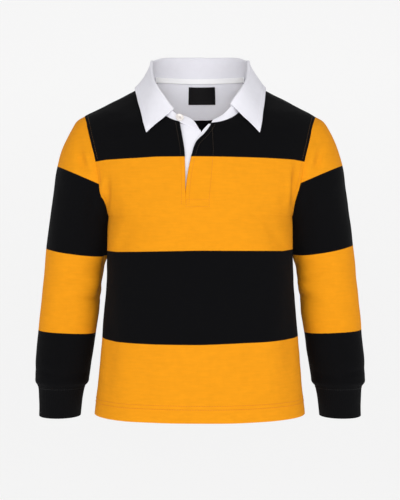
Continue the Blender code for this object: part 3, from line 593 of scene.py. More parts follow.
table_depth = {face: smooth(DEPTHS, "level", face) for face in ("front", "back")}
table_roundness = smooth(DEPTHS, "level", "roundness")
side_width = smooth(SIDES, "level", "half_width")
armhole_x = {face: smooth(ARMHOLE, "level", face + "_x") for face in ("front", "back")}
armhole_depth = {"front": ARMHOLE_FRONT_DEPTH, "back": ARMHOLE_BACK_DEPTH}
lower_edge, upper_edge, facing_shows = (
    smooth(PLACKET, "level", value) for value in ("lower_edge", "upper_edge", "facing_shows")
)
under_edge = smooth(UNDER_EDGE, "level", "x")
roll_rise, roll_out, roll_back = (smooth(ROLL, "angle", value) for value in ("rise", "out", "back"))
collar_edge = {axis: smooth(COLLAR_EDGE, "share", axis) for axis in "xyz"}
print("half the body's width at the armpit:", side_width(ARMPIT_LEVEL), "mm")


# %% A point of the body
def centre_depth(face, z):
    """How far the centre front or back stands from the shoulder seam's plane."""
    if z <= -NECK_FRONT_DROP:
        return table_depth[face](z)
    drop = max(-z, 0.0) / NECK_FRONT_DROP
    if face == "front":
        return NECK_FRONT_DEPTH * drop**NECK_FRONT_CURVE
    return NECK_BACK_DEPTH - NECK_BACK_LEAN * max(z, 0.0) + NECK_BACK_GAIN * drop**NECK_BACK_CURVE


def armhole_swing(z):
    """Place on the armhole's oval, from 0 at its top and bottom to 1 where it is deepest."""
    end = ARMPIT_LEVEL if z < YOKE_STRIPE_LEVEL else SHOULDER_TIP_LEVEL
    reach = (YOKE_STRIPE_LEVEL - z) / (YOKE_STRIPE_LEVEL - end)
    return math.sqrt(max(1.0 - reach * reach, 0.0))


def half_width(face, z):
    """Half the width of the whole level section, sleeves' place included above the armpit."""
    if z <= ARMPIT_LEVEL:
        return side_width(z)
    if z >= SHOULDER_TIP_LEVEL:
        return NECK_HALF_WIDTH + max(-z, 0.0) / SHOULDER_SLOPE
    n = table_roundness(z)
    share = armhole_depth[face] * armhole_swing(z) / centre_depth(face, z)
    return armhole_x[face](z) / (1.0 - share**n) ** (1.0 / n)


def bump(offset, reach):
    """A smooth swelling, 1 at its middle and soon 0 beyond its reach."""
    return math.exp(-((offset / reach) ** 2))


def fold_depth(x, z):
    """The hollows that run down the front below each armhole."""
    hollow = 0.0
    for fold in FRONT_FOLDS:
        along = z - fold.z
        across = abs(x) - fold.x - fold.lean * along
        hollow += fold.depth * bump(along, fold.length) * bump(across, fold.width)
    return hollow


def body_point(face, x, z):
    """A point of the panel at x and z."""
    n = table_roundness(z) if z < -NECK_FRONT_DROP else 2.0
    share = min(abs(x) / half_width(face, z), 1.0)
    reach = (1.0 - share**n) ** (1.0 / n)
    if face == "front":
        return Vector((x, -centre_depth(face, z) * reach + fold_depth(x, z) * reach, z))
    return Vector((x, centre_depth(face, z) * reach, z))


def body_normal(face, x, z):
    """The panel's outward direction at x and z."""
    step = 0.5
    along_x = body_point(face, x + step, z) - body_point(face, x - step, z)
    along_z = body_point(face, x, z + step) - body_point(face, x, z - step)
    normal = along_x.cross(along_z).normalized()
    return normal if face == "front" else -normal


def below_body(face, x, z, depth):
    """A point so deep behind the panel."""
    return body_point(face, x, z) - depth * body_normal(face, x, z)


chest_depth = sum(centre_depth(face, YOKE_STRIPE_LEVEL) for face in ("front", "back"))
print("the chest is", chest_depth, "mm deep")

# %% Rows of the panels
Row = namedtuple("Row", "front back front_edge back_edge follow power roundness end_angle")


def between(start, end, count, first=0):
    """Even steps from start to end."""
    return [start + (end - start) * i / count for i in range(first, count + 1)]


def armhole_edges(z):
    """Where the front and the back end at a level of the armhole."""
    return [(armhole_x[face](z), z) for face in ("front", "back")]


def body_rows():
    """Rows from hem to neck: centre levels, both panels' outer edges, and how near the neck."""
    rows = []
    levels = between(HEM_LEVEL, LOW_STRIPE_LEVEL, BODY_STEPS[0])
    levels += between(LOW_STRIPE_LEVEL, MIDDLE_STRIPE_LEVEL, BODY_STEPS[1], 1)
    levels += between(MIDDLE_STRIPE_LEVEL, ARMPIT_LEVEL, BODY_STEPS[2], 1)
    for z in levels:
        edge = (side_width(z), z)
        rows.append(Row(z, z, edge, edge, 0.0, 1.0, 2.0, 90.0))
    quarter = math.pi / 2.0 / ARMHOLE_ROWS
    for k in range(1, ARMHOLE_ROWS + 1):
        z = ARMPIT_LEVEL + (YOKE_STRIPE_LEVEL - ARMPIT_LEVEL) * (1.0 - math.cos(k * quarter))
        rows.append(Row(z, z, *armhole_edges(z), 0.0, 1.0, 2.0, 90.0))
    fan = ARMHOLE_ROWS + SHOULDER_ROWS
    for k in range(1, fan + 1):
        front = YOKE_STRIPE_LEVEL + (-NECK_FRONT_DROP - YOKE_STRIPE_LEVEL) * k / fan
        back = YOKE_STRIPE_LEVEL + (NECK_BACK_RISE - YOKE_STRIPE_LEVEL) * k / fan
        if k <= ARMHOLE_ROWS:
            rise = (SHOULDER_TIP_LEVEL - YOKE_STRIPE_LEVEL) * math.sin(k * quarter)
            edges = armhole_edges(YOKE_STRIPE_LEVEL + rise)
            near = k / ARMHOLE_ROWS
            rows.append(Row(front, back, *edges, near * near, 1.0 + near, 2.0, FAN_ANGLE))
        else:
            share = (k - ARMHOLE_ROWS) / SHOULDER_ROWS
            x = SHOULDER_TIP_X + (NECK_HALF_WIDTH - SHOULDER_TIP_X) * share
            edge = (x, SHOULDER_TIP_LEVEL * (1.0 - share))
            power = 2.0 + (1.0 / NECK_ROUNDNESS - 2.0) * share
            roundness = 2.0 + (NECK_ROUNDNESS - 2.0) * share
            angle = FAN_ANGLE + (90.0 - FAN_ANGLE) * share
            rows.append(Row(front, back, edge, edge, 1.0 - share, power, roundness, angle))
    return rows


def row_point(face, row, share):
    """A point of a row, from share -1 at one outer edge through 0 at the centre to 1."""
    edge_x, edge_z = row.front_edge if face == "front" else row.back_edge
    centre = row.front if face == "front" else row.back
    reach = min(abs(share), 1.0)
    fall = (1.0 - reach**row.roundness) ** row.power
    ridge = SHOULDER_SLOPE * edge_x * (1.0 - reach) * row.follow * reach**3
    z = edge_z + (centre - edge_z) * fall + ridge
    return body_point(face, edge_x * share, z)


def row_angle(face, row):
    """The angle round the body where a row ends, which spaces its points evenly."""
    x, z = row.front_edge if face == "front" else row.back_edge
    return min(math.asin(min(x / half_width(face, z), 1.0)), math.radians(row.end_angle))


rows = body_rows()
print("rows from hem to neck:", len(rows))

# %% [markdown]
# ## Laying out fine cloth
#
# Each panel starts as a coarse grid of control points, which is all that its form needs. A
# Catmull-Rom curve goes through every control point, so one function can fill the grid in as finely
# as we like and the panels still meet along their seams. Places are closer together at the seams,
# because that is where cloth is pressed, turned and puckered.

# %% Fine grids
FINE = 5
EDGE_PLACES = [0.0, 0.06, 0.14, 0.24, 0.38, 0.56, 0.78]


def catmull(points, places, before=None, after=None):
    """Smooth curves through rows of control points, read at the given places."""
    before = 2.0 * points[0] - points[1] if before is None else before
    after = 2.0 * points[-1] - points[-2] if after is None else after
    padded = np.concatenate([before[None], points, after[None]])
    i = np.minimum(places.astype(int), len(points) - 2)
    t = (places - i).reshape(-1, *[1] * (points.ndim - 1))
    a, b, c, d = (padded[i + k] for k in range(4))
    squared = 2 * a - 5 * b + 4 * c - d
    return 0.5 * (2 * b + (c - a) * t + squared * t**2 + (3 * b - 3 * c + d - a) * t**3)


def places_over(count, near_start=False, near_end=False, fine=FINE):
    """Places along a grid of so many intervals, closer together beside a seam."""
    places = [i + k / fine for i in range(count) for k in range(fine)] + [float(count)]
    if near_start:
        places = EDGE_PLACES + [p for p in places if p >= 1.0]
    if near_end:
        places = [p for p in places if p <= count - 1.0]
        places += [count - p for p in reversed(EDGE_PLACES)]
    return np.array(places)


def as_array(grid):
    """A grid of vectors as an array of numbers."""
    return np.array([[tuple(point) for point in line] for line in grid], float)


def turned(grid):
    """The grid with its rows as columns."""
    return np.swapaxes(grid, 0, 1)


def lengths_along(grid):
    """Distance from the first row, down each column of a grid."""
    steps = np.linalg.norm(np.diff(grid[..., :3], axis=0), axis=2)
    return np.concatenate([np.zeros((1, grid.shape[1])), np.cumsum(steps, axis=0)])


def lengths_across(grid):
    """Distance from the first column, along each row of a grid."""
    return turned(lengths_along(turned(grid)))


print("places in one interval beside a seam:", EDGE_PLACES)

# %% [markdown]
# ## From grid to cloth
#
# A cloth here is a thin closed wall: the face, the back of the cloth a little behind it, and a
# rounded edge between them. We keep the corner coordinates of every face in real millimetres, so
# that knit and twill run true to the grain. Where two grids share points they become one sheet.

# %% Sheets of cloth
Cloth = namedtuple("Cloth", "points faces corners gold numbers")


def new_cloth():
    """A sheet with nothing laid on it yet."""
    return Cloth([], [], [], [], {})


def lay(cloth, grid, gold=None, flip=False, mirror=1.0):
    """Adds a fine grid to a cloth and returns the number of each of its points."""
    across, along = lengths_across(grid) * mirror, lengths_along(grid)
    numbers = np.zeros(grid.shape[:2], int)
    for r, line in enumerate(grid):
        for c, point in enumerate(line):
            name = tuple(round(float(value), 3) for value in point)
            if name not in cloth.numbers:
                cloth.numbers[name] = len(cloth.points)
                cloth.points.append(point)
                cloth.gold.append(0.0 if gold is None else gold[r][c])
            numbers[r, c] = cloth.numbers[name]
    rows, columns = grid.shape[:2]
    for r in range(rows - 1):
        for c in range(columns - 1):
            ring = [(r, c), (r, c + 1), (r + 1, c + 1), (r + 1, c)]
            ring = ring[::-1] if flip else ring
            ring = [p for i, p in enumerate(ring) if numbers[p] != numbers[ring[i - 1]]]
            cloth.faces.append([int(numbers[p]) for p in ring])
            cloth.corners.append([(across[p] * MILLIMETRE, along[p] * MILLIMETRE) for p in ring])
    return numbers


def unit(vectors):
    """The vectors at length 1, along the last axis."""
    return vectors / np.maximum(np.linalg.norm(vectors, axis=-1, keepdims=True), 1e-9)


def point_normals(points, faces):
    """The normal at each point, weighted by the faces round it."""
    normals = np.zeros_like(points)
    for face in faces:
        a, b, c = (points[face[k]] for k in (0, 1, 2))
        area = np.cross(b - a, c - a)
        if len(face) == 4:
            area = area + np.cross(c - a, points[face[3]] - a)
        normals[face] += area
    return unit(normals)


def rim_pairs(faces):
    """The directed edges that only one face uses."""
    directed = {(face[i - 1], n) for face in faces for i, n in enumerate(face)}
    return sorted(pair for pair in directed if pair[::-1] not in directed)


print("a cloth is kept as", ", ".join(Cloth._fields))

# %% Walls of cloth
# The rounded edge stands out by this share of the cloth's thickness
RIM_BULGE = 0.4
Made = namedtuple("Made", "piece points tree")
cloths = {}


def place(name, data):
    """Puts a mesh, a lamp or a camera into the scene."""
    piece = bpy.data.objects.new(name, data)
    bpy.context.scene.collection.objects.link(piece)
    return piece


def declare(piece, node=None):
    """Lets a piece ride on the shirt, and in place of its solid."""
    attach(piece, "root")
    if node:
        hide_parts(node)


def make_cloth(name, cloth, thickness, finish, node, bend=None):
    """Makes a thin wall of cloth that stands for its solid."""
    points = np.array(cloth.points)
    normals = point_normals(points, cloth.faces)
    if bend is not None:
        points = points + normals * bend(points, normals)[:, None]
        normals = point_normals(points, cloth.faces)
    rim = rim_pairs(cloth.faces)
    ways = defaultdict(lambda: np.zeros(3))
    for a, b in rim:
        out = unit(np.cross(points[b] - points[a], normals[a] + normals[b]))
        ways[a] += out
        ways[b] += out
    edge = sorted(ways)
    count = len(points)
    middle = {n: 2 * count + i for i, n in enumerate(edge)}
    turned_edge = [
        points[n] - normals[n] * thickness / 2.0 + unit(ways[n]) * thickness * RIM_BULGE
        for n in edge
    ]
    behind = points - normals * thickness
    everything = np.concatenate([points, behind, np.array(turned_edge).reshape(-1, 3)])
    faces = list(cloth.faces) + [[n + count for n in reversed(face)] for face in cloth.faces]
    corners = list(cloth.corners) + [list(reversed(corner)) for corner in cloth.corners]
    for a, b in rim:
        faces += [[b, a, middle[a], middle[b]], [middle[b], middle[a], a + count, b + count]]
        corners += [[(0.0, 0.0)] * 4] * 2
    mesh = bpy.data.meshes.new(name)
    mesh.from_pydata((everything * MILLIMETRE).tolist(), [], faces)
    layer = mesh.uv_layers.new(name="cloth")
    flat = [value for corner in corners for place in corner for value in place]
    layer.data.foreach_set("uv", flat)
    gold = np.concatenate([cloth.gold, cloth.gold, [cloth.gold[n] for n in edge]])
    mesh.attributes.new("gold", "FLOAT", "POINT").data.foreach_set("value", gold)
    mesh.materials.append(finish)
    mesh.shade_smooth()
    piece = place(name, mesh)
    declare(piece, node)
    cloths[name] = Made(piece, points, BVHTree.FromPolygons(points.tolist(), cloth.faces))
    area = sum(polygon.area for polygon in mesh.polygons[: len(cloth.faces)])
    print(f"{name}: {len(mesh.polygons)} faces, {area * 1e4:.0f} square centimetres")


# %% [markdown]
# ## Folds
#
# A worn jersey hangs nearly smooth, and its folds gather where it bends or is held: in front of
# the armpit, at the inside of the elbow, above the cuff and beside the end of the placket. Each
# fold is a soft valley with a low ridge beside it, placed and sized in a table.

# %% Creases and the small waves of cloth
Crease = namedtuple("Crease", "x y z along_x along_z length width depth")
# A crease fades out within this distance towards the back or the front
CREASE_REACH = 26.0
# It wanders by a share of its width, so often along it, and has a low ridge beside it
CREASE_WANDER = 0.12
CREASE_TURNS = 2.5
RIDGE_PLACE = 1.7
RIDGE_WIDTH = 1.1
RIDGE_HEIGHT = 0.55
# Each numbered set of ripples is read this much further on in the noise
RIPPLE_SHIFT = (7.3, 3.1, 5.7)


def swell(*spans):
    """A smooth swelling over arrays: 1 in the middle of every span, and soon 0 beyond its reach."""
    return np.exp(-sum((offset / reach) ** 2 for offset, reach in spans))


def fading(values, level, softness):
    """A divisor that rises from 1 where the values pass a level, so that something fades out."""
    return 1.0 + np.exp((values - level) / softness)


def ripple(points, size, height, seed):
    """Small uneven waves, as cloth has even where nothing pulls on it."""
    shift = Vector([seed * step for step in RIPPLE_SHIFT])
    return np.array([noise.noise(Vector(p) / size + shift) * height for p in points])


def press(points, creases):
    """How far each crease moves the points along their normals."""
    moved = np.zeros(len(points))
    for crease in creases:
        along = np.array([crease.along_x, 0.0, crease.along_z])
        along = along / np.linalg.norm(along)
        offset = points - np.array([crease.x, crease.y, crease.z])
        run = offset @ along
        side = np.array([along[2], 0.0, -along[0]])
        wander = CREASE_WANDER * crease.width * np.sin(run / crease.length * CREASE_TURNS)
        across = offset @ side + wander
        reach = swell((run, crease.length), (offset[:, 1], CREASE_REACH))
        valley = swell((across, crease.width))
        ridge = swell((across - RIDGE_PLACE * crease.width, RIDGE_WIDTH * crease.width))
        moved += crease.depth * reach * (RIDGE_HEIGHT * ridge - valley)
    return moved


print("a crease is given by", ", ".join(Crease._fields))

# %% [markdown]
# ## Front and back
#
# The front is one piece with a slit cut down from the neck for the placket, left of the centre
# from where we look. Both halves share their points below the slit. The back is one plain piece.
# The distance to a band's edge is worked out from the height, because the bands run nearly level.

# %% Creases of the front and the back
FRONT_CREASES = table(Crease, [
    (-117.5, -44, -150, -0.14, -1, 17, 4.2, 4.4),
    (118.5, -42, -140, -0.06, -1, 22, 4.2, 5.2),
    (-92, -62, -200, -0.45, -1, 30, 8, 1),
    (96, -60, -205, 0.5, -1, 34, 8, 1.1),
    (-20, -80, -192, 0.15, -1, 24, 7, 0.9),
    (14, -80, -190, -0.25, -1, 22, 7, 0.7),
    (-70, -76, -385, 0.10, -1, 55, 14, 1.4),
    (62, -78, -380, -0.12, -1, 60, 15, 1.5),
    (108, -50, -330, -0.05, -1, 70, 10, 1.3),
    (-110, -48, -320, 0.04, -1, 70, 10, 1.3),
])
BACK_CREASES = table(Crease, [
    (-100, 52, -176, -0.35, -1, 40, 7, 2),
    (101, 52, -178, 0.35, -1, 42, 7.5, 2),
    (-60, 72, -230, -0.5, -1, 50, 12, 1.6),
    (66, 70, -240, 0.45, -1, 52, 12, 1.5),
    (20, 80, -300, 0.2, -1, 60, 14, 1.3),
    (-36, 78, -380, -0.1, -1, 50, 14, 1.4),
])
print("creases:", len(FRONT_CREASES), "in front and", len(BACK_CREASES), "behind")

# %% Bands of the body
# How far each band edge rises above its level across the shirt, because hung knit is never true
BandSway = namedtuple("BandSway", "x yoke middle low")
BAND_SWAY = table(BandSway, [
    (-130, -2.2, 1.4, 5),
    (-117, -1, 1, 1.6),
    (-104, -0.9, -0.3, 0.3),
    (-78, -0.3, -0.1, -0.3),
    (-52, 0.8, 0.3, -0.7),
    (0, 0.8, 1.3, -0.9),
    (52, 0.2, 1, 0.9),
    (78, -0.1, 1, 1.3),
    (104, -0.6, 0.9, 2.5),
    (117, -0.8, 2.8, 3.3),
    (130, -2.2, 3.4, 5.6),
])


def body_gold(grid):
    """Distance inside the gold bands: positive in gold and negative in black."""
    x, z = grid[..., 0], grid[..., 2]
    columns = BandSway(*zip(*BAND_SWAY))
    yoke = YOKE_STRIPE_LEVEL + np.interp(x, columns.x, columns.yoke)
    middle = MIDDLE_STRIPE_LEVEL + np.interp(x, columns.x, columns.middle)
    low = LOW_STRIPE_LEVEL + np.interp(x, columns.x, columns.low)
    return np.maximum(low - z, np.minimum(z - middle, yoke - z))


print("bands end at", YOKE_STRIPE_LEVEL, MIDDLE_STRIPE_LEVEL, LOW_STRIPE_LEVEL)

# %% Control points of the front and the back
row_places = places_over(len(rows) - 1)
at_slit = SLIT_END_LEVEL + 0.01
slit_row = max(i for i, row in enumerate(rows) if row.front <= at_slit)


def front_half(side):
    """Control points of one half of the front, from the slit to the outer edge."""
    edge = lower_edge if side < 0 else upper_edge
    grid = []
    for row in rows:
        end = row_angle("front", row)
        cut = row.front > SLIT_END_LEVEL
        start = edge(row.front) if cut else lower_edge(SLIT_END_LEVEL)
        first = math.asin(start / row.front_edge[0] * math.sin(end))
        angles = between(first, side * end, FRONT_COLUMNS)
        grid.append([row_point("front", row, math.sin(a) / math.sin(end)) for a in angles])
    return as_array(grid)


def back_grid():
    """Control points of the back, from one outer edge to the other."""
    grid = []
    for row in rows:
        end = row_angle("back", row)
        angles = between(-end, end, BACK_COLUMNS)
        grid.append([row_point("back", row, math.sin(a) / math.sin(end)) for a in angles])
    return as_array(grid)


halves = {side: front_half(side) for side in (-1, 1)}
back_control = back_grid()
print("control rows and columns behind:", back_control.shape[:2])

# %% Laying the front and the back
fine_halves = {}
front_places = places_over(FRONT_COLUMNS, near_start=True, near_end=True)
for side in (-1, 1):
    control = halves[side]
    ghost = 2.0 * control[:, 0] - control[:, 1]
    ghost[: slit_row + 1] = halves[-side][: slit_row + 1, 1]
    wide = turned(catmull(turned(control), front_places, before=ghost))
    fine_halves[side] = catmull(wide, row_places)
below_slit = row_places <= slit_row + 1e-6
shared = (fine_halves[-1][below_slit, 0] + fine_halves[1][below_slit, 0]) / 2.0
front = new_cloth()
front_numbers = {}
for side in (-1, 1):
    fine_halves[side][below_slit, 0] = shared
    grid = fine_halves[side]
    front_numbers[side] = lay(front, grid, body_gold(grid), flip=side < 0, mirror=side)

back_places = places_over(BACK_COLUMNS, near_start=True, near_end=True)
fine_back = catmull(turned(catmull(turned(back_control), back_places)), row_places)
back = new_cloth()
back_numbers = lay(back, fine_back, body_gold(fine_back), flip=True)
print("laid points:", len(front.points), "in front and", len(back.points), "behind")

# %% How the body hangs
JERSEY_CLOTH = 1.1
# Below the sleeves the front lies flatter than an oval
SIDE_LEVEL = -240.0
SIDE_SOFTNESS = 10.0
SIDE_FULLNESS = 2.6
# The sleeve's inner line and the body's side swell until they touch below the armpit
TOUCH_LEVEL = -196.0
TOUCH_REACH = 26.0
TOUCH_WIDTH = 6.0
BODY_TOUCH_X = 119.5
SLEEVE_TOUCH_X = 121.0
BODY_TOUCH = 0.6
SLEEVE_TOUCH = 1.5
# The hem waves in and out
HEM_WAVE = 0.9
HEM_REACH = 45.0
# How a panel hangs: the place by the neck where it is held quiet, its waves at the hem, and its
# ripples, each by size, height and number
Hang = namedtuple("Hang", "quiet_level quiet_height quiet_width wave_length wave_start ripples")
FRONT_HANG = Hang(-60.0, 55.0, 45.0, 21.0, 0.6, ((38.0, 1.1, 1), (14.0, 0.25, 2)))
BACK_HANG = Hang(-10.0, 45.0, 75.0, 24.0, 0.0, ((42.0, 1.4, 3), (15.0, 0.25, 4)))


def side_touch(points):
    """The swelling at the side seams, where the sleeves rest on the body."""
    side = swell((np.abs(points[:, 0]) - BODY_TOUCH_X, TOUCH_WIDTH))
    return BODY_TOUCH * side * swell((points[:, 2] - TOUCH_LEVEL, TOUCH_REACH))


def hang_panel(points, hang, creases, fullness=0.0):
    """How far a hanging panel's points move along their normals."""
    x, z = points[:, 0], points[:, 2]
    quiet = 1.0 - swell((z - hang.quiet_level, hang.quiet_height), (x, hang.quiet_width))
    wave = np.sin(x / hang.wave_length + hang.wave_start)
    hem = swell((z - HEM_LEVEL, HEM_REACH)) * HEM_WAVE * wave
    folds = press(points, creases)
    for size, height, number in hang.ripples:
        folds = folds + ripple(points, size, height, number)
    return (folds + hem + fullness) * quiet + side_touch(points)


def front_bend(points, normals):
    """How the front hangs, with its fuller sides."""
    turning = np.abs(normals[:, 0]) * np.clip(-normals[:, 1], 0.0, 1.0)
    fullness = 2.0 * SIDE_FULLNESS * turning / fading(points[:, 2], SIDE_LEVEL, SIDE_SOFTNESS)
    return hang_panel(points, FRONT_HANG, FRONT_CREASES, fullness)


def back_bend(points, _normals):
    """How the back hangs."""
    return hang_panel(points, BACK_HANG, BACK_CREASES)


make_cloth("front_panel", front, JERSEY_CLOTH, striped_jersey, "front", front_bend)
make_cloth("back_panel", back, JERSEY_CLOTH, striped_jersey, "back", back_bend)

# %% [markdown]
# ## Sleeves
#
# A sleeve's first ring is the armhole itself, so it takes the panels' own edge points and gives
# way to the smooth rings over the next few centimetres. The top band is cut on a slant, because
# the cap is knitted straight and set in at an angle. The forearm folds sit inside the elbow.

# %% Creases of the sleeves
SLEEVE_CREASES = table(Crease, [
    (149, -34, -106, -0.42, -1, 14, 5.4, 3.8),
    (137, -36, -160, 0.15, -1, 24, 6, 1.2),
    (196, -6, -376, 1, 0.15, 16, 4, 1),
    (162, -10, -380, 1, -0.2, 16, 4, 1),
    (150, 42, -150, 0.30, -1, 34, 7, 1.8),
    (140, 52, -265, 1, -0.25, 24, 5, 1.8),
    (142, 52, -290, 1, 0.20, 24, 5, 1.6),
    (190, 52, -330, 1, 0.35, 24, 6, 1.2),
])
# Each elbow has creases of its own, because no two arms hang the same
ELBOW_CREASES = {
    1: table(Crease, [
        (126.5, 2, -243, -0.20, -1, 15, 2.6, 1.6),
        (134, -10, -256, 1, -0.55, 10, 3.4, 1.5),
        (137, -12, -277, 1, -0.25, 11, 4, 1.6),
        (152, -22, -246, 1, 0.55, 15, 5, 1.1),
    ]),
    -1: table(Crease, [
        (127.6, 2, -240, 0.12, -1, 17, 2.4, 3.4),
        (131, -2, -268, 0.30, -1, 12, 3, 2.2),
        (141, -14, -279, 1, 0.10, 12, 3.4, 1.9),
        (146, -18, -263, 1, 0.30, 13, 4, 1.2),
        (152, -25, -250, 1, -0.35, 20, 6, 1.1),
    ]),
}
print("creases:", len(SLEEVE_CREASES), "on each sleeve besides those at its elbow")


# %% Rings of the sleeve
def ring_point(ring, angle):
    """A point of a ring, by angle from its outer line through the front."""
    outer = Vector((ring.outer_x, ring.centre_y, ring.outer_z))
    inner = Vector((ring.inner_x, ring.centre_y, ring.inner_z))
    front_way = Vector((0.0, -ring.half_depth, -ring.front_dip))
    rise = Vector((0.0, 0.0, ring.side_rise)) * math.sin(angle) ** 2
    middle = (outer + inner) / 2.0 + rise
    return middle + (outer - inner) / 2.0 * math.cos(angle) + front_way * math.sin(angle)


def closed(grid):
    """The grid with its first column repeated at the end, so that it closes to rings."""
    return np.concatenate([grid, grid[:, :1]], axis=1)


def sleeve_control():
    """Control rings of the armhole and the sleeve."""
    inside = rows[ARMPIT_ROW : ARMPIT_ROW + 2 * ARMHOLE_ROWS + 1]
    loop = [row_point("front", row, 1.0) for row in reversed(inside)]
    loop += [row_point("back", row, 1.0) for row in inside[1:-1]]
    grid = [loop]
    for k, ring in enumerate(SLEEVE, 1):
        carried = max(1.0 - k / CAP_RINGS, 0.0) ** 2
        line = []
        for c, point in enumerate(loop):
            angle = 2.0 * math.pi * c / len(loop)
            bulge = point - ring_point(ARMHOLE_OVAL, angle)
            line.append(ring_point(ring, angle) + bulge * carried)
        grid.append(line)
    return closed(as_array(grid))


def round_ring(control, fine=FINE):
    """Fills closed rings in, all the way round."""
    places = places_over(control.shape[1] - 1, fine=fine)
    return turned(catmull(turned(control), places, before=control[:, -2], after=control[:, 1]))


def sleeve_folds(grid, places):
    """The sleeve's broad troughs, which its solid has too."""
    columns = grid.shape[1] - 1
    for r, place in enumerate(places):
        if place <= 0.0 or place >= len(SLEEVE):
            continue
        ring = SLEEVE[min(max(int(place + 0.5) - 1, 0), len(SLEEVE) - 1)]
        centre = np.array([(ring.outer_x + ring.inner_x) / 2.0, ring.centre_y, 0.0])
        for c in range(columns + 1):
            angle = 360.0 * c / columns
            depth = 0.0
            for fold in SLEEVE_FOLDS:
                turn = (angle - fold.angle + 180.0) % 360.0 - 180.0
                depth += fold.depth * bump(place - fold.ring, fold.length) * bump(turn, fold.width)
            inward = centre - grid[r, c]
            inward[2] = 0.0
            grid[r, c] += inward / np.linalg.norm(inward) * depth
    return grid


control = sleeve_control()
print("control rings:", len(control))

# %% Bands of the sleeves
# How far the band edges of each sleeve lie above their rings: the cap's, the elbow's at the inner
# and at the outer side, and the forearm's
SleeveSway = namedtuple("SleeveSway", "cap elbow_inner elbow_outer forearm")
SLEEVE_SWAY = {1: SleeveSway(1.9, 2.2, 6.6, 3.9), -1: SleeveSway(0.6, 0.0, 2.8, 3.1)}
RING_SPACING = 27.0
SLEEVE_INNER_X = 132.0
SLEEVE_OUTER_X = 192.0


def sleeve_gold(grid, places, sway):
    """Distance inside the gold of the sleeve: above the slanted band, and on the forearm."""
    x, z = grid[..., 0], grid[..., 2]
    cap_level = UPPER_BAND_LEVEL + sway.cap + UPPER_BAND_SLOPE * (x - UPPER_BAND_OUTER_X)
    cap = (z - cap_level) / math.hypot(1.0, UPPER_BAND_SLOPE)
    down = places[:, None] * RING_SPACING
    outer = np.clip((x - SLEEVE_INNER_X) / (SLEEVE_OUTER_X - SLEEVE_INNER_X), 0.0, 1.0)
    slant = (sway.elbow_outer - sway.elbow_inner) * outer
    elbow = down - ELBOW_BAND_RING * RING_SPACING + sway.elbow_inner + slant
    forearm = FOREARM_BAND_RING * RING_SPACING - sway.forearm - down
    return np.maximum(cap, np.minimum(elbow, forearm))


print("band edges at rings", ELBOW_BAND_RING, "and", FOREARM_BAND_RING)

# %% Laying the sleeves
SLEEVE_FINE = 10
GIVE_WAY_RINGS = 2.0
sleeve_places = places_over(len(SLEEVE), near_start=True, near_end=True, fine=SLEEVE_FINE)
sleeve_rings = catmull(control, sleeve_places, before=control[0], after=control[-1])
sleeve_grid = round_ring(sleeve_rings)
first, last = ARMPIT_ROW * FINE, (ARMPIT_ROW + 2 * ARMHOLE_ROWS) * FINE
armhole_front = fine_halves[1][first : last + 1, -1][::-1]
armhole = np.concatenate([armhole_front, fine_back[first + 1 : last + 1, -1]])
give_way = np.maximum(1.0 - sleeve_places / GIVE_WAY_RINGS, 0.0) ** 2
sleeve_grid += give_way[:, None, None] * (armhole - sleeve_grid[0])
gold_round_sleeve = {
    side: sleeve_gold(sleeve_grid, sleeve_places, sway) for side, sway in SLEEVE_SWAY.items()
}
sleeve_grid = sleeve_folds(sleeve_grid, sleeve_places)


def on_side(side, grid):
    """The grid as it is on the left, or mirrored to the right."""
    return grid if side > 0 else grid * np.array([-1.0, 1.0, 1.0])


print("points round a sleeve:", sleeve_grid.shape[1] - 1, "in", sleeve_grid.shape[0], "rings")

# %% How the sleeves hang
# The forearm is flatter in front than an oval, with a tighter turn at its inner edge
FOREARM_LEVEL = -215.0
FOREARM_END = -370.0
FOREARM_SOFTNESS = 8.0
FOREARM_FULLNESS = 5.5
# Just above the cuff the sleeve swells, because it is gathered into a narrower ring
BLOUSE_LEVEL = -390.5
BLOUSE_REACH = 3.6
CUFF_BLOUSE = 1.3
SLEEVE_RIPPLE = (26.0, 0.8)


def make_sleeve(side, name, node):
    """Makes one sleeve, with side 1 for the wearer's left and -1 for the right."""
    cloth = new_cloth()
    lay(cloth, on_side(side, sleeve_grid), gold_round_sleeve[side], flip=side < 0)

    def bend(points, normals):
        own = on_side(side, points)
        x, z = own[:, 0], own[:, 2]
        touch = swell((x - SLEEVE_TOUCH_X, TOUCH_WIDTH), (z - TOUCH_LEVEL, TOUCH_REACH))
        inward = np.clip(-normals[:, 0] * side, 0.0, 1.0) * np.clip(-normals[:, 1], 0.0, 1.0)
        above_end = fading(-z, -FOREARM_END, FOREARM_SOFTNESS)
        forearm = 1.0 / fading(z, FOREARM_LEVEL, FOREARM_SOFTNESS) / above_end
        waves_of_cloth = ripple(points, *SLEEVE_RIPPLE, 5 + side) * (1.0 - touch)
        folds = press(own, SLEEVE_CREASES + ELBOW_CREASES[side]) + waves_of_cloth
        blouse = CUFF_BLOUSE * swell((z - BLOUSE_LEVEL, BLOUSE_REACH))
        fullness = 2.0 * inward * forearm * FOREARM_FULLNESS
        return folds + blouse + touch * SLEEVE_TOUCH + fullness

    make_cloth(name, cloth, JERSEY_CLOTH, striped_jersey, node, bend)


make_sleeve(1, "left_sleeve", "sleeve_left")
make_sleeve(-1, "right_sleeve", "sleeve_right")

# %% [markdown]
# ## Cuffs
#
# A rugby cuff is a doubled band of rib, a little narrower than the sleeve, so that the sleeve
# blouses over it. The ridges are real geometry here, because their shadows make the rib.

# %% The cuffs
RIB_CLOTH = 1.7
RIB_DEPTH = 0.17
RIB_FINE = 20
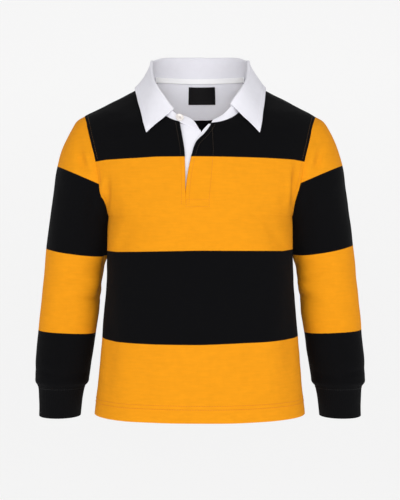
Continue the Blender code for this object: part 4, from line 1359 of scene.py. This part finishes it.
# The cuff's first ring is tucked in where it is sewn
CUFF_TUCK = 0.6
cuff_angles = between(0.0, 2.0 * math.pi, 4 * ARMHOLE_ROWS)[:-1]
cuff_rings = [[ring_point(ring, angle) for angle in cuff_angles] for ring in [SLEEVE[-1]] + CUFF]
cuff_places = places_over(len(CUFF), near_start=True, near_end=True)
cuff_grid = round_ring(catmull(closed(as_array(cuff_rings)), cuff_places), fine=RIB_FINE)


def make_cuff(side, name, node):
    """Makes one cuff, with side 1 for the wearer's left and -1 for the right."""
    grid = on_side(side, cuff_grid)
    cloth = new_cloth()
    numbers = lay(cloth, grid, flip=side < 0)
    across = lengths_across(grid)
    ribs = round(float(across[0, -1]) / RIB_PITCH)
    ridge = np.zeros(len(cloth.points))
    for r in range(grid.shape[0]):
        ridge[numbers[r]] = np.cos(across[r] / across[r, -1] * ribs * 2.0 * math.pi) * RIB_DEPTH
    ridge[numbers[0]] = -CUFF_TUCK
    make_cloth(name, cloth, RIB_CLOTH, rib_knit, node, lambda _points, _normals: ridge)
    print(name, "has", ribs, "ribs")


make_cuff(1, "left_cuff", "cuff_left")
make_cuff(-1, "right_cuff", "cuff_right")

# %% [markdown]
# ## Collar
#
# A rugby collar is cut in two parts. The stand follows the neck seam and closes with a rubber or
# resin button, and the fall rolls over the top of it. Twill is stiff, so the roll is tight and the
# points lie almost flat. The fall's lower edge is found on the body itself, a cloth's thickness
# above the jersey.

# %% Stations round the neck
Station = namedtuple("Station", "low high out up")


def neck_angle(point):
    """Angle round the neck from the centre back, the same on both sides."""
    angle = math.degrees(math.asin(min(abs(point.x) / NECK_HALF_WIDTH, 1.0)))
    return angle if point.y >= 0.0 else 180.0 - angle


def collar_stations(necks, back_neck):
    """Neck seam and fold of the collar, from the under placket round the back to the slit."""
    lines = []
    for end in reversed(STAND_END):
        low = below_body("front", end.x, end.low, end.depth)
        high = low + Vector((0.0, STAND_LEAN, 1.0)) * (end.high - end.low)
        lines.append((low, high, body_normal("front", end.x, end.low)))
    for point in necks[-1] + back_neck[1:-1] + necks[1][::-1]:
        angle = neck_angle(point)
        out = Vector((point.x / NECK_HALF_WIDTH, point.y / NECK_FRONT_DEPTH, 0.0)).normalized()
        rise = Vector((0.0, roll_back(angle), roll_rise(angle))) + roll_out(angle) * out
        lines.append((point.copy(), point + rise, out))
    stations = []
    for i, (low, high, out) in enumerate(lines):
        before = lines[max(i - 1, 0)][1]
        after = lines[min(i + 1, len(lines) - 1)][1]
        along = (after - before).normalized()
        up = (high - low) - along * (high - low).dot(along)
        out = out - along * out.dot(along)
        up = up.normalized()
        out = (out - up * out.dot(up)).normalized()
        stations.append(Station(low, high, out, up))
    return stations


necks = {side: [Vector(p) for p in halves[side][-1]] for side in (-1, 1)}
stations = collar_stations(necks, [Vector(p) for p in back_control[-1]])
print("stations round the neck:", len(stations))


# %% The collar's lying edge
def leaf_clearance(point, share):
    """How far the fall stands off the body, by its share of the way from fold to edge."""
    lift = SHOULDER_LIFT * bump(point.y, SHOULDER_LIFT_REACH)
    return COLLAR_CLOTH + LEAF_EASE * (0.5 + share) + lift


def collar_edge_point(skin, share):
    """The lying edge of the collar, from the wearer's right tip (0) to the left one (1)."""
    side = -1.0 if share < 0.5 else 1.0
    near = min(share, 1.0 - share)
    x, y, z = (collar_edge[axis](near) for axis in "xyz")
    spread = LEFT_LEAF_SPREAD * max(1.0 - near / LEFT_LEAF_REACH, 0.0)
    nearest, normal = skin.find_nearest(Vector((side * x + spread, y, z)))[:2]
    return nearest + normal * leaf_clearance(nearest, 0.5)


def clear_of(skin, point, clearance):
    """The point, moved out until it stands clear of the body's nearest face."""
    nearest, normal = skin.find_nearest(point)[:2]
    height = (point - nearest).dot(normal)
    return point + normal * max(clearance - height, 0.0)


def coarse_skin():
    """The body's smooth outer surface, for the collar to lie on."""
    points = []
    faces = []
    for grid, flip in ((halves[-1], True), (halves[1], False), (back_control, True)):
        base = len(points)
        columns = grid.shape[1]
        points += [Vector(p) for line in grid for p in line]
        for r in range(grid.shape[0] - 1):
            for c in range(columns - 1):
                ring = [base + r * columns + c, base + r * columns + c + 1]
                ring += [n + columns for n in reversed(ring)]
                faces.append(ring[::-1] if flip else ring)
    return BVHTree.FromPolygons(points, faces)


skin = coarse_skin()
print("the left point lies at", [round(v, 1) for v in collar_edge_point(skin, 1.0)])

# %% Control points of the stand and the fall
TWILL_CLOTH = 1.5
FOLD_STEPS = 4
# The stand stops short of the fold by at most this share of its height
STAND_SHARE = 0.4


def stand_control(stations):
    """Control points of the stand, from the neck seam up to just below the fold."""
    grid = []
    for r in range(STAND_ROWS + 1):
        line = []
        for station in stations:
            drop = FOLD_RADIUS + FOLD_FOOT + SEAM_GAP
            drop = min(drop, (station.high - station.low).length * STAND_SHARE)
            line.append(station.low.lerp(station.high - station.up * drop, r / STAND_ROWS))
        grid.append(line)
    return as_array(grid)


def fall_column(station, edge, skin):
    """One column of the fall: up the stand, round the fold, and down on to the body."""
    up, out = station.up, station.out
    start = station.high - up * FOLD_RADIUS - out * COLLAR_CLOTH
    column = [start - up * FOLD_FOOT]
    for turn in between(0.0, math.pi, FOLD_STEPS):
        column.append(start + FOLD_RADIUS * (out * (1.0 - math.cos(turn)) + up * math.sin(turn)))
    top = column[-1]
    near = top - up * (edge - top).length * ROLL_TANGENT
    far = edge + (near - edge).normalized() * (edge - top).length * LYING_TANGENT
    for t in between(0.0, 1.0, LEAF_ROWS, 1):
        rolling = top * (1 - t) ** 3 + near * 3 * t * (1 - t) ** 2
        point = rolling + far * 3 * t * t * (1 - t) + edge * t**3
        column.append(clear_of(skin, point, leaf_clearance(point, t)))
    return column


def fall_control(stations, skin):
    """Control points of the fall, from the fold's foot to the lying edge."""
    past_placket = [i > len(STAND_END) and s.low.x < -LEAF_CORNER_X for i, s in enumerate(stations)]
    first = past_placket.index(True)
    last = max(i for i, s in enumerate(stations) if s.low.x > LEAF_CORNER_X)
    leaf = stations[first : last + 1]
    lengths = [0.0]
    for a, b in zip(leaf, leaf[1:]):
        lengths.append(lengths[-1] + (b.high - a.high).length)
    edges = [collar_edge_point(skin, length / lengths[-1]) for length in lengths]
    columns = [fall_column(station, edge, skin) for station, edge in zip(leaf, edges)]
    return turned(as_array(columns))


stand, fall = stand_control(stations), fall_control(stations, skin)
print("control points:", stand[..., 0].size, "in the stand and", fall[..., 0].size, "in the fall")


# %% The stand and the fall
# The fall's ripples, each by size, height and number
FALL_RIPPLES = ((30.0, 0.5, 9), (9.0, 0.12, 10))


def fill_in(control, fine=3, edges=True):
    """Fills a grid of control points in, both ways."""
    wide = turned(catmull(turned(control), places_over(control.shape[1] - 1, edges, edges, fine)))
    return catmull(wide, places_over(control.shape[0] - 1, edges, edges, fine))


def make_plain(name, control, thickness, finish, node, slot, flip=False, bend=None):
    """Makes a cloth of one grid, and returns the grid as it lies when made."""
    cloth = new_cloth()
    numbers = lay(cloth, fill_in(control), flip=flip)
    make_cloth(name, cloth, thickness, finish, node, bend)
    return cloths[name].points[numbers]


def collar_bend(points, _normals):
    """The fall's small waves."""
    return sum(ripple(points, *waves_of_cloth) for waves_of_cloth in FALL_RIPPLES)


WHITE_TWILL = (TWILL_CLOTH, white_twill)
make_plain("collar_stand_band", stand, *WHITE_TWILL, "collar_stand", "white_twill", flip=True)
fall_points = make_plain(
    "collar_fall_leaf", fall, *WHITE_TWILL, "collar_fall", "white_twill", bend=collar_bend
)

# %% [markdown]
# ## Placket, tape, lining and label
#
# The placket's under side is a strip of doubled twill that runs on below the slit. The upper side
# is only faced, so a thin line of the facing shows past the jersey's edge. At the back a tape
# covers the neck seam, and a half-moon of white jersey takes the rub of the collar.

# %% Strips behind the front
BEHIND_JERSEY = JERSEY + LAYER_GAP


def strip(face, levels, edges, depths):
    """Control points of a strip behind a panel."""
    return as_array([[below_body(face, x, z, d) for x, d in zip(edges(z), depths)] for z in levels])


def under_placket_control():
    """The under placket: tucked behind the front, with its top along the stand."""

    def edges(z):
        near = lower_edge(max(z, SLIT_END_LEVEL))
        far = under_edge(z)
        middle = near + (far - near) * 0.5
        return [near - UNDER_PLACKET_TUCK, near - UNDER_PLACKET_STEP, middle, far]

    behind_facing = BEHIND_JERSEY + FACING_CLOTH + LAYER_GAP
    depths = [BEHIND_JERSEY, behind_facing, behind_facing, behind_facing]
    levels = between(PLACKET_END_LEVEL, UNDER_PLACKET_LAST_ROW, UNDER_PLACKET_ROWS)
    start = STAND_END[0].low - UNDER_TOP_GAP
    tops = [start - share * UNDER_TOP_FALL for share in UNDER_TOP_SHARES]
    places = zip(edges(UNDER_TOP_LEVEL), tops, depths)
    top = as_array([[below_body("front", x, z, d) for x, z, d in places]])
    return np.concatenate([strip("front", levels, edges, depths), top])


def facing_control():
    """The facing, which shows a little past the upper edge and flares towards the neck."""

    def edges(z):
        level = max(z, SLIT_END_LEVEL)
        near = upper_edge(level) - facing_shows(level)
        far = FACING_FAR_EDGE + max(0.0, z - FACING_FLARE_LEVEL) * FACING_FLARE
        return [near, near + (far - near) * 0.5, far]

    levels = between(PLACKET_END_LEVEL, FACING_TOP_LEVEL, FACING_ROWS)
    return strip("front", levels, edges, [BEHIND_JERSEY] * 3)


print("the under placket is", UNDER_PLACKET_LAST_ROW - PLACKET_END_LEVEL, "mm long below its top")


# %% Strips behind the back
def tape_control(stations):
    """The tape over the neck seam, between the shoulder seams."""
    grid = []
    for level in TAPE_LEVELS:
        line = []
        for station in [s for s in stations if s.low.y > TAPE_END_Y]:
            rise = (station.high - station.low).normalized()
            point = station.low + rise * (level - NECK_BACK_RISE + TAPE_LIFT)
            line.append(point - station.out * TAPE_DEPTH)
        grid.append(line)
    return as_array(grid)


def neck_back_level(x):
    """Level of the back neck seam at x."""
    reach = (abs(x) / NECK_HALF_WIDTH) ** NECK_ROUNDNESS
    return NECK_BACK_RISE * (1.0 - reach) ** (1.0 / NECK_ROUNDNESS)


def half_moon_control():
    """The half-moon, which hangs from the neck seam in a flattened arc."""
    depth = BEHIND_JERSEY + FACING_EASE
    grid = []
    for r in range(HALF_MOON_ROWS + 1):
        line = []
        for c in range(HALF_MOON_COLUMNS + 1):
            share = math.sin(math.pi / 2.0 * (2.0 * c / HALF_MOON_COLUMNS - 1.0))
            x = HALF_MOON_HALF_WIDTH * share
            top = neck_back_level(x) - HALF_MOON_SEAM
            arc = math.sqrt(1.0 - HALF_MOON_FULLNESS * abs(share) ** HALF_MOON_FLATNESS)
            low = -HALF_MOON_DROP * arc
            line.append(below_body("back", x, low + (top - low) * r / HALF_MOON_ROWS, depth))
        grid.append(line)
    return as_array(grid)


def label_control():
    """The label, flat on the half-moon."""
    depth = JERSEY + FACING_EASE + FACING_CLOTH + 2.0 * LAYER_GAP + LABEL_EASE
    half = LABEL_WIDTH / 2.0
    across = between(LABEL_CENTRE_X - half, LABEL_CENTRE_X + half, LABEL_COLUMNS)
    levels = between(LABEL_TOP - LABEL_DROP, LABEL_TOP, LABEL_ROWS)
    return strip("back", levels, lambda _z: across, [depth] * len(across))


print("the half-moon hangs", HALF_MOON_DROP, "mm below the shoulder seams")

# %% The trims
TRIM_CLOTH = 0.9


def make_trim(name, control, finish, node, slot, flip=False):
    """Makes one of the thin cloths."""
    return make_plain(name, control, TRIM_CLOTH, finish, node, slot, flip)


under = under_placket_control()
make_trim("placket_under_strip", under, white_twill, "placket_under", "white_twill")
make_trim("placket_facing_strip", facing_control(), white_twill, "placket_facing", "white_twill")
tape = tape_control(stations)
tape = make_trim("neck_seam_tape", tape, neck_tape_cloth, "neck_tape", "white_tape", True)
moon = half_moon_control()
make_trim("half_moon_lining", moon, lining_jersey, "half_moon", "white_lining", True)
label = label_control()
label = make_trim("blank_neck_label", label, label_satin, "neck_label", "black_label", True)

# %% [markdown]
# ## The collar button
#
# A four-hole shirt button is turned or cast with a raised rim and a shallow dish. We draw half of
# its section as a short table and spin it, then cut the holes and set it in front of the stand.

# %% The button's section
Section = namedtuple("Section", "radius height")
BUTTON_SECTION = table(Section, [
    (0, 0.25),
    (2.6, 0.30),
    (3.3, 0.75),
    (3.9, 1.15),
    (4.5, 1.10),
    (4.95, 0.55),
    (5, 0),
    (4.8, -0.6),
    (4, -1.15),
    (0, -1.2),
])
BUTTON_TURNS = 40
HOLE_RADIUS = 0.65
HOLE_OFFSET = 1.05
HOLE_SIDES = 14
DRILL_LENGTH = 4.0
SHARP_ANGLE = 40.0
WELD_DISTANCE = 0.01


def spun(section, turns):
    """Points and faces of a section spun about its axis."""
    angles = np.linspace(0.0, 2.0 * math.pi, turns, endpoint=False)
    circle = [(math.cos(angle), math.sin(angle)) for angle in angles]
    points = [(s.radius * x, s.radius * y, s.height) for s in section for x, y in circle]
    faces = []
    for r in range(len(section) - 1):
        for c in range(turns):
            d = (c + 1) % turns
            ring = [r * turns + c, r * turns + d, (r + 1) * turns + d, (r + 1) * turns + c]
            faces.append(ring[::-1])
    return points, faces


def plain_mesh(name, points, faces, finish):
    """A mesh from points in millimetres."""
    mesh = bpy.data.meshes.new(name)
    mesh.from_pydata([tuple(v * MILLIMETRE for v in p) for p in points], [], faces)
    mesh.materials.append(finish)
    return mesh


def drill(piece, x, y):
    """Cuts one hole through a piece, and lets its drill go."""
    bpy.ops.mesh.primitive_cylinder_add(
        vertices=HOLE_SIDES,
        radius=HOLE_RADIUS * MILLIMETRE,
        depth=DRILL_LENGTH * MILLIMETRE,
        location=Vector((x, y, 0.0)) * MILLIMETRE,
    )
    bit = bpy.context.active_object
    cut = piece.modifiers.new("hole", "BOOLEAN")
    cut.operation = "DIFFERENCE"
    cut.object = bit
    with bpy.context.temp_override(object=piece, active_object=piece):
        weld = piece.modifiers.new("poles", "WELD")
        weld.merge_threshold = WELD_DISTANCE * MILLIMETRE
        bpy.ops.object.modifier_move_to_index(modifier="poles", index=0)
        bpy.ops.object.modifier_apply(modifier="poles")
        bpy.ops.object.modifier_apply(modifier="hole")
    bpy.data.objects.remove(bit)


print("the button's section has", len(BUTTON_SECTION), "places")

# %% The button
disc = plain_mesh("collar_button", *spun(BUTTON_SECTION, BUTTON_TURNS), button_resin)
button = place("collar_button", disc)
for number in range(4):
    turn = math.pi / 2.0 * (number + 0.5)
    drill(button, HOLE_OFFSET * math.cos(turn), HOLE_OFFSET * math.sin(turn))
button.data.shade_smooth()
button.data.set_sharp_from_angle(angle=math.radians(SHARP_ANGLE))
in_front = [s for s in stations[len(STAND_END) :] if s.low.y < 0]
nearest = min(in_front, key=lambda s: abs(s.low.x - BUTTON_X))
rise = (nearest.high - nearest.low).normalized()
button_out = (nearest.out - rise * nearest.out.dot(rise)).normalized()
stand_off = LAYER_GAP + BUTTON_THICKNESS / 2.0 + BUTTON_SHANK
button_centre = nearest.low.lerp(nearest.high, BUTTON_HEIGHT_SHARE) + button_out * stand_off
button.data.transform(button_out.to_track_quat("Z", "Y").to_matrix().to_4x4())
button.location = button_centre * MILLIMETRE
declare(button, "neck_button")
print("button:", len(button.data.polygons), "faces, 10 mm across")

# %% [markdown]
# ## Stitches
#
# Topstitching is what makes cloth read as sewn. Each stitch is a short bar of thread that comes up
# out of the cloth and goes down again, so its ends are buried and its middle stands proud. A seam
# is a path along an edge, moved in by the machine foot's width and dropped on to the cloth.

# %% A row of stitches
# A stitch's section, from end to end: along it by its length, and up by its thread's width
Bar = namedtuple("Bar", "along height width")
BARS = table(Bar, [
    (-0.5, -0.45, 0.25),
    (-0.33, 0.10, 0.85),
    (0, 0.28, 1),
    (0.33, 0.10, 0.85),
    (0.5, -0.45, 0.25),
])
BAR_SIDES = 6
Stitch = namedtuple("Stitch", "width length pitch", defaults=(2.5, 3.1))


def even_points(path, pitch):
    """Points at an even pitch along a path, half a pitch in from its ends."""
    path = np.array(path)
    runs = np.concatenate([[0.0], np.cumsum(np.linalg.norm(np.diff(path, axis=0), axis=1))])
    count = max(int(runs[-1] / pitch), 1)
    wanted = (np.arange(count) + 0.5) * runs[-1] / count
    return np.stack([np.interp(wanted, runs, path[:, k]) for k in range(3)], axis=1)


def add_stitch(points, faces, centre, ahead, normal, stitch):
    """Adds one bar of thread to the points and faces of a seam."""
    side = normal.cross(ahead)
    base = len(points)
    for bar in BARS:
        middle = centre + ahead * bar.along * stitch.length + normal * bar.height * stitch.width
        for k in range(BAR_SIDES):
            turn = 2.0 * math.pi * k / BAR_SIDES
            way = side * math.cos(turn) + normal * math.sin(turn)
            points.append(middle + way * bar.width * stitch.width / 2.0)
    for r in range(len(BARS) - 1):
        a, b = base + r * BAR_SIDES, base + (r + 1) * BAR_SIDES
        for k in range(BAR_SIDES):
            n = (k + 1) % BAR_SIDES
            faces.append([a + k, b + k, b + n, a + n])
    faces.append([base + k for k in range(BAR_SIDES)])
    faces.append([base + (len(BARS) - 1) * BAR_SIDES + k for k in reversed(range(BAR_SIDES))])


def sew(name, runs, finish, stitch):
    """One mesh with every stitch of some seams: each run is a path and the cloth under it."""
    points = []
    faces = []
    stitches = 0
    for path, tree in runs:
        places = even_points(path, stitch.pitch)
        for i, place_on_path in enumerate(places):
            centre, normal = tree.find_nearest(Vector(place_on_path))[:2]
            ahead = Vector(places[min(i + 1, len(places) - 1)] - places[max(i - 1, 0)])
            ahead = (ahead - normal * ahead.dot(normal)).normalized()
            add_stitch(points, faces, centre, ahead, normal, stitch)
            stitches += 1
    mesh = plain_mesh(name, points, faces, finish)
    mesh.shade_smooth()
    declare(place(name, mesh))
    print(f"{name}: {stitches} stitches")


def moved_in(edge, tree, distance):
    """A path beside an edge, moved across the cloth; the sign of distance picks the side."""
    edge = np.array(edge)
    path = []
    for i, point in enumerate(edge):
        along = Vector(edge[min(i + 1, len(edge) - 1)] - edge[max(i - 1, 0)]).normalized()
        normal = tree.find_nearest(Vector(point))[1]
        path.append(Vector(point) + normal.cross(along).normalized() * distance)
    return path


print("a stitch has", len(BARS) * BAR_SIDES, "points")

# %% Armhole and shoulder seams
ARMHOLE_INSET = 4.6
SHOULDER_INSET = 2.5
front_points, front_tree = cloths["front_panel"][1:]
back_points, back_tree = cloths["back_panel"][1:]
front_edge = {side: front_points[front_numbers[side][:, -1]] for side in (-1, 1)}
back_edge = {-1: back_points[back_numbers[:, 0]], 1: back_points[back_numbers[:, -1]]}
armhole_rows = slice(first, last + 1)


def by_band(runs):
    """Splits runs on the striped panels into what lies on gold and what lies on black."""
    parts = {True: [], False: []}
    for path, tree in runs:
        path = [Vector(place_on_path) for place_on_path in path]
        on_gold = body_gold(np.array([[tuple(place_on_path) for place_on_path in path]]))[0] > 0.0
        start = 0
        for i in range(1, len(path) + 1):
            if i == len(path) or on_gold[i] != on_gold[start]:
                if i - start > 1:
                    parts[bool(on_gold[start])].append((path[start:i], tree))
                start = i
    return parts


seams = []
shoulders = []
for side in (-1, 1):
    inset = side * ARMHOLE_INSET
    seams.append((moved_in(front_edge[side][armhole_rows], front_tree, inset), front_tree))
    seams.append((moved_in(back_edge[side][armhole_rows], back_tree, -inset), back_tree))
    shoulder = moved_in(back_edge[side][last:], back_tree, -side * SHOULDER_INSET)
    shoulders.append((shoulder, back_tree))
parts = by_band(seams)
sew("armhole_stitches_on_gold", parts[True], threads["gold"], Stitch(0.4))
sew("armhole_stitches_on_black", parts[False], threads["brown"], Stitch(0.42))
sew("shoulder_stitches", shoulders, threads["black"], Stitch(0.55))

# %% The hem
HEM_LINES = (16.0, 20.5)


def path_at(points, height):
    """A path across a grid of points, at a height above its first row."""
    run = lengths_along(points)
    columns = range(points.shape[1])
    return [[np.interp(height, run[:, c], points[:, c, k]) for k in range(3)] for c in columns]


right_front = front_points[front_numbers[-1][:, ::-1]]
left_front = front_points[front_numbers[1]]
hem_runs = []
for height in HEM_LINES:
    hem_runs.append((path_at(right_front, height) + path_at(left_front, height), front_tree))
    hem_runs.append((path_at(back_points[back_numbers], height), back_tree))
sew("hem_stitches", hem_runs, threads["gold"], Stitch(0.55))

# %% The placket
PLACKET_INSET = 4.6
BOX_TOP, BOX_LOW, BOX_LEFT, BOX_RIGHT = -157.0, -166.0, -16.8, 11.2
BOX = [
    (BOX_LEFT, BOX_TOP),
    (BOX_RIGHT, BOX_TOP),
    (BOX_RIGHT, BOX_LOW),
    (BOX_LEFT, BOX_LOW),
    (BOX_LEFT, BOX_TOP),
]
FACING_LINE = [(BOX_RIGHT, BOX_TOP), (13.6, -130.0), (16.2, -98.0), (15.4, -76.0), (15.0, -68.0)]
SMALL_STITCH = Stitch(0.44, 2.0, 2.5)
PATH_STEPS = 12
slit_rows = slice(int(np.argmax(row_places >= slit_row)), None)


def front_path(corners):
    """A path on the front through corners given by x and z."""
    path = []
    for (x0, z0), (x1, z1) in zip(corners, corners[1:]):
        for t in np.linspace(0.0, 1.0, PATH_STEPS):
            path.append(body_point("front", x0 + (x1 - x0) * t, z0 + (z1 - z0) * t))
    return path


lines = [
    moved_in(front_points[front_numbers[side][slit_rows, 0]], front_tree, -side * PLACKET_INSET)
    for side in (-1, 1)
]
lines += [front_path(FACING_LINE), front_path(BOX)]
parts = by_band([(path, front_tree) for path in lines])
sew("placket_stitches_on_gold", parts[True], threads["gold"], SMALL_STITCH)
sew("placket_stitches_on_black", parts[False], threads["dark_brown"], SMALL_STITCH)

# %% The collar, the cuffs and the trims
COLLAR_INSET = 4.8
# The stitching of the fall's ends starts past the fold, and stops short of the lower line
FOLD_END_ROW = 12
SHORT_OF_EDGE = 3
CUFF_LINE = 4.0
# The lines on the tape and the label, by their share of the way over it
TAPE_LINES = (0.16, 0.84)
LABEL_LINES = (0.1, 0.9)
FINE_STITCH = Stitch(0.34, 2.0, 2.5)
fall_tree = cloths["collar_fall_leaf"].tree

lower = moved_in(fall_points[-1], fall_tree, -COLLAR_INSET)
from_corner = np.linalg.norm(fall_points[-1] - fall_points[-1, 0], axis=1)
inset = int(np.argmax(from_corner > COLLAR_INSET))
collar_runs = [(lower[inset : len(lower) - inset], fall_tree)]
for column, sign in ((0, 1.0), (-1, -1.0)):
    path = moved_in(fall_points[FOLD_END_ROW:, column], fall_tree, sign * COLLAR_INSET)
    collar_runs.append((path[:-SHORT_OF_EDGE], fall_tree))
sew("collar_stitches", collar_runs, threads["white"], Stitch(0.45, 2.0, 2.5))

cuff_runs = [
    (path_at(on_side(side, cuff_grid), CUFF_LINE), cloths[name].tree)
    for side, name in ((1, "left_cuff"), (-1, "right_cuff"))
]
sew("cuff_stitches", cuff_runs, threads["black"], Stitch(0.5))


def lines_on(name, points, shares):
    """Runs along the rows of a cloth's points, at shares of the way over them."""
    last_row = len(points) - 1
    return [(points[round(share * last_row)], cloths[name].tree) for share in shares]


tape_runs = lines_on("neck_seam_tape", tape, TAPE_LINES)
label_runs = lines_on("blank_neck_label", turned(label), LABEL_LINES)
sew("tape_stitches", tape_runs, threads["white"], FINE_STITCH)
sew("label_stitches", label_runs, threads["black"], FINE_STITCH)

# %% [markdown]
# ## The studio
#
# The shirt hangs in the air as on an unseen figure, over a pale floor that curves up behind it.
# A large soft light in front, two paler ones at the sides and one above keep the shadows open.

# %% The floor
FLOOR_LEVEL = -800.0
FLOOR_FRONT = -4000.0
FLOOR_BACK = 2200.0
FLOOR_TOP = 3000.0
FLOOR_HALF_WIDTH = 5000.0
CURVE_RADIUS = 1200.0
CURVE_STEPS = 16
curve_start = FLOOR_BACK - CURVE_RADIUS
profile = [(FLOOR_FRONT, FLOOR_LEVEL), (curve_start, FLOOR_LEVEL)]
for turn in between(0.0, math.pi / 2.0, CURVE_STEPS, 1):
    rise = CURVE_RADIUS * (1.0 - math.cos(turn))
    profile.append((curve_start + CURVE_RADIUS * math.sin(turn), FLOOR_LEVEL + rise))
profile.append((FLOOR_BACK, FLOOR_TOP))
floor_points = [(x, y, z) for x in (-FLOOR_HALF_WIDTH, FLOOR_HALF_WIDTH) for y, z in profile]
count = len(profile)
floor_faces = [[i, i + count, i + count + 1, i + 1] for i in range(count - 1)]
# Matt paper has no highlight, and a little light of its own keeps it as pale as a lit backdrop
paper = bpy.data.materials.new("matt_background_paper")
paper.use_nodes = True
PAPER = {
    "Base Color": colour("#9A9A9A"),
    "Roughness": 1.0,
    "Emission Color": (1.0, 1.0, 1.0, 1.0),
    "Emission Strength": 0.67,
}
set_values(paper.node_tree.nodes["Principled BSDF"], PAPER)
floor = place("studio_floor", plain_mesh("studio_floor", floor_points, floor_faces, paper))
floor.data.shade_smooth()
print("the floor lies", -FLOOR_LEVEL, "mm below the shoulder seams")

# %% The lights
Light = namedtuple("Light", "name x y z size power")
LIGHTS = table(Light, [
    ("front_softbox", 0, -2.5, -0.05, 0.9, 21.5),
    ("left_softbox", -1.45, -2.1, -0.05, 0.9, 9.5),
    ("right_softbox", 1.45, -2.1, -0.05, 0.9, 12.5),
    ("top_softbox", 0, 0.3, 1.8, 1.2, 3),
])
AIM = Vector((0.0, 0.0, -0.20))
SKY_STRENGTH = 0.39


def hang_lamp(data, location, aim):
    """Hangs a lamp so that it shines at a point."""
    lamp = place(data.name, data)
    lamp.location = location
    lamp.rotation_euler = (aim - lamp.location).to_track_quat("-Z", "Y").to_euler()


for light in LIGHTS:
    softbox = bpy.data.lights.new(light.name, "AREA")
    softbox.size = light.size
    softbox.energy = light.power
    hang_lamp(softbox, (light.x, light.y, light.z), AIM)

# A snoot keeps a narrow beam inside the neck, so that the lining isn't lost in shade
snoot = bpy.data.lights.new("neck_snoot", "SPOT")
snoot.energy = 19.0
snoot.spot_size = math.radians(3.6)
snoot.spot_blend = 0.9
snoot.shadow_soft_size = 0.04
hang_lamp(snoot, (0.0, -2.0, 0.35), Vector((0.0, 0.05, -0.024)))

sky = bpy.data.worlds.new("studio_air")
sky.use_nodes = True
air = sky.node_tree.nodes["Background"]
set_values(air, {"Color": (1.0, 1.0, 1.0, 1.0), "Strength": SKY_STRENGTH})
bpy.context.scene.world = sky
bpy.context.scene.view_settings.view_transform = "Standard"
print("lamps:", len(LIGHTS) + 1)

# %% The camera
CAMERA_DISTANCE = 1.23
CAMERA_HEIGHT = -0.2185
VIEW_HEIGHT = 0.65
SENSOR_MM = 24.0
camera = place("camera", bpy.data.cameras.new("camera"))
camera.data.sensor_fit = "VERTICAL"
camera.data.sensor_height = SENSOR_MM
camera.data.lens = SENSOR_MM * CAMERA_DISTANCE / VIEW_HEIGHT
camera.location = (0.0, -CAMERA_DISTANCE, CAMERA_HEIGHT)
camera.rotation_euler = (math.pi / 2.0, 0.0, 0.0)
bpy.context.scene.camera = camera
print("lens:", round(camera.data.lens, 1), "mm")

# %% [markdown]
# ## The cut
#
# Last, the form of a flat cut: the piece's name, its width and length, and its area.

# %% Flat cuts and the end
# Width and length in metres, and the area where the piece isn't a plain rectangle
Cut = namedtuple("Cut", "name width length area")
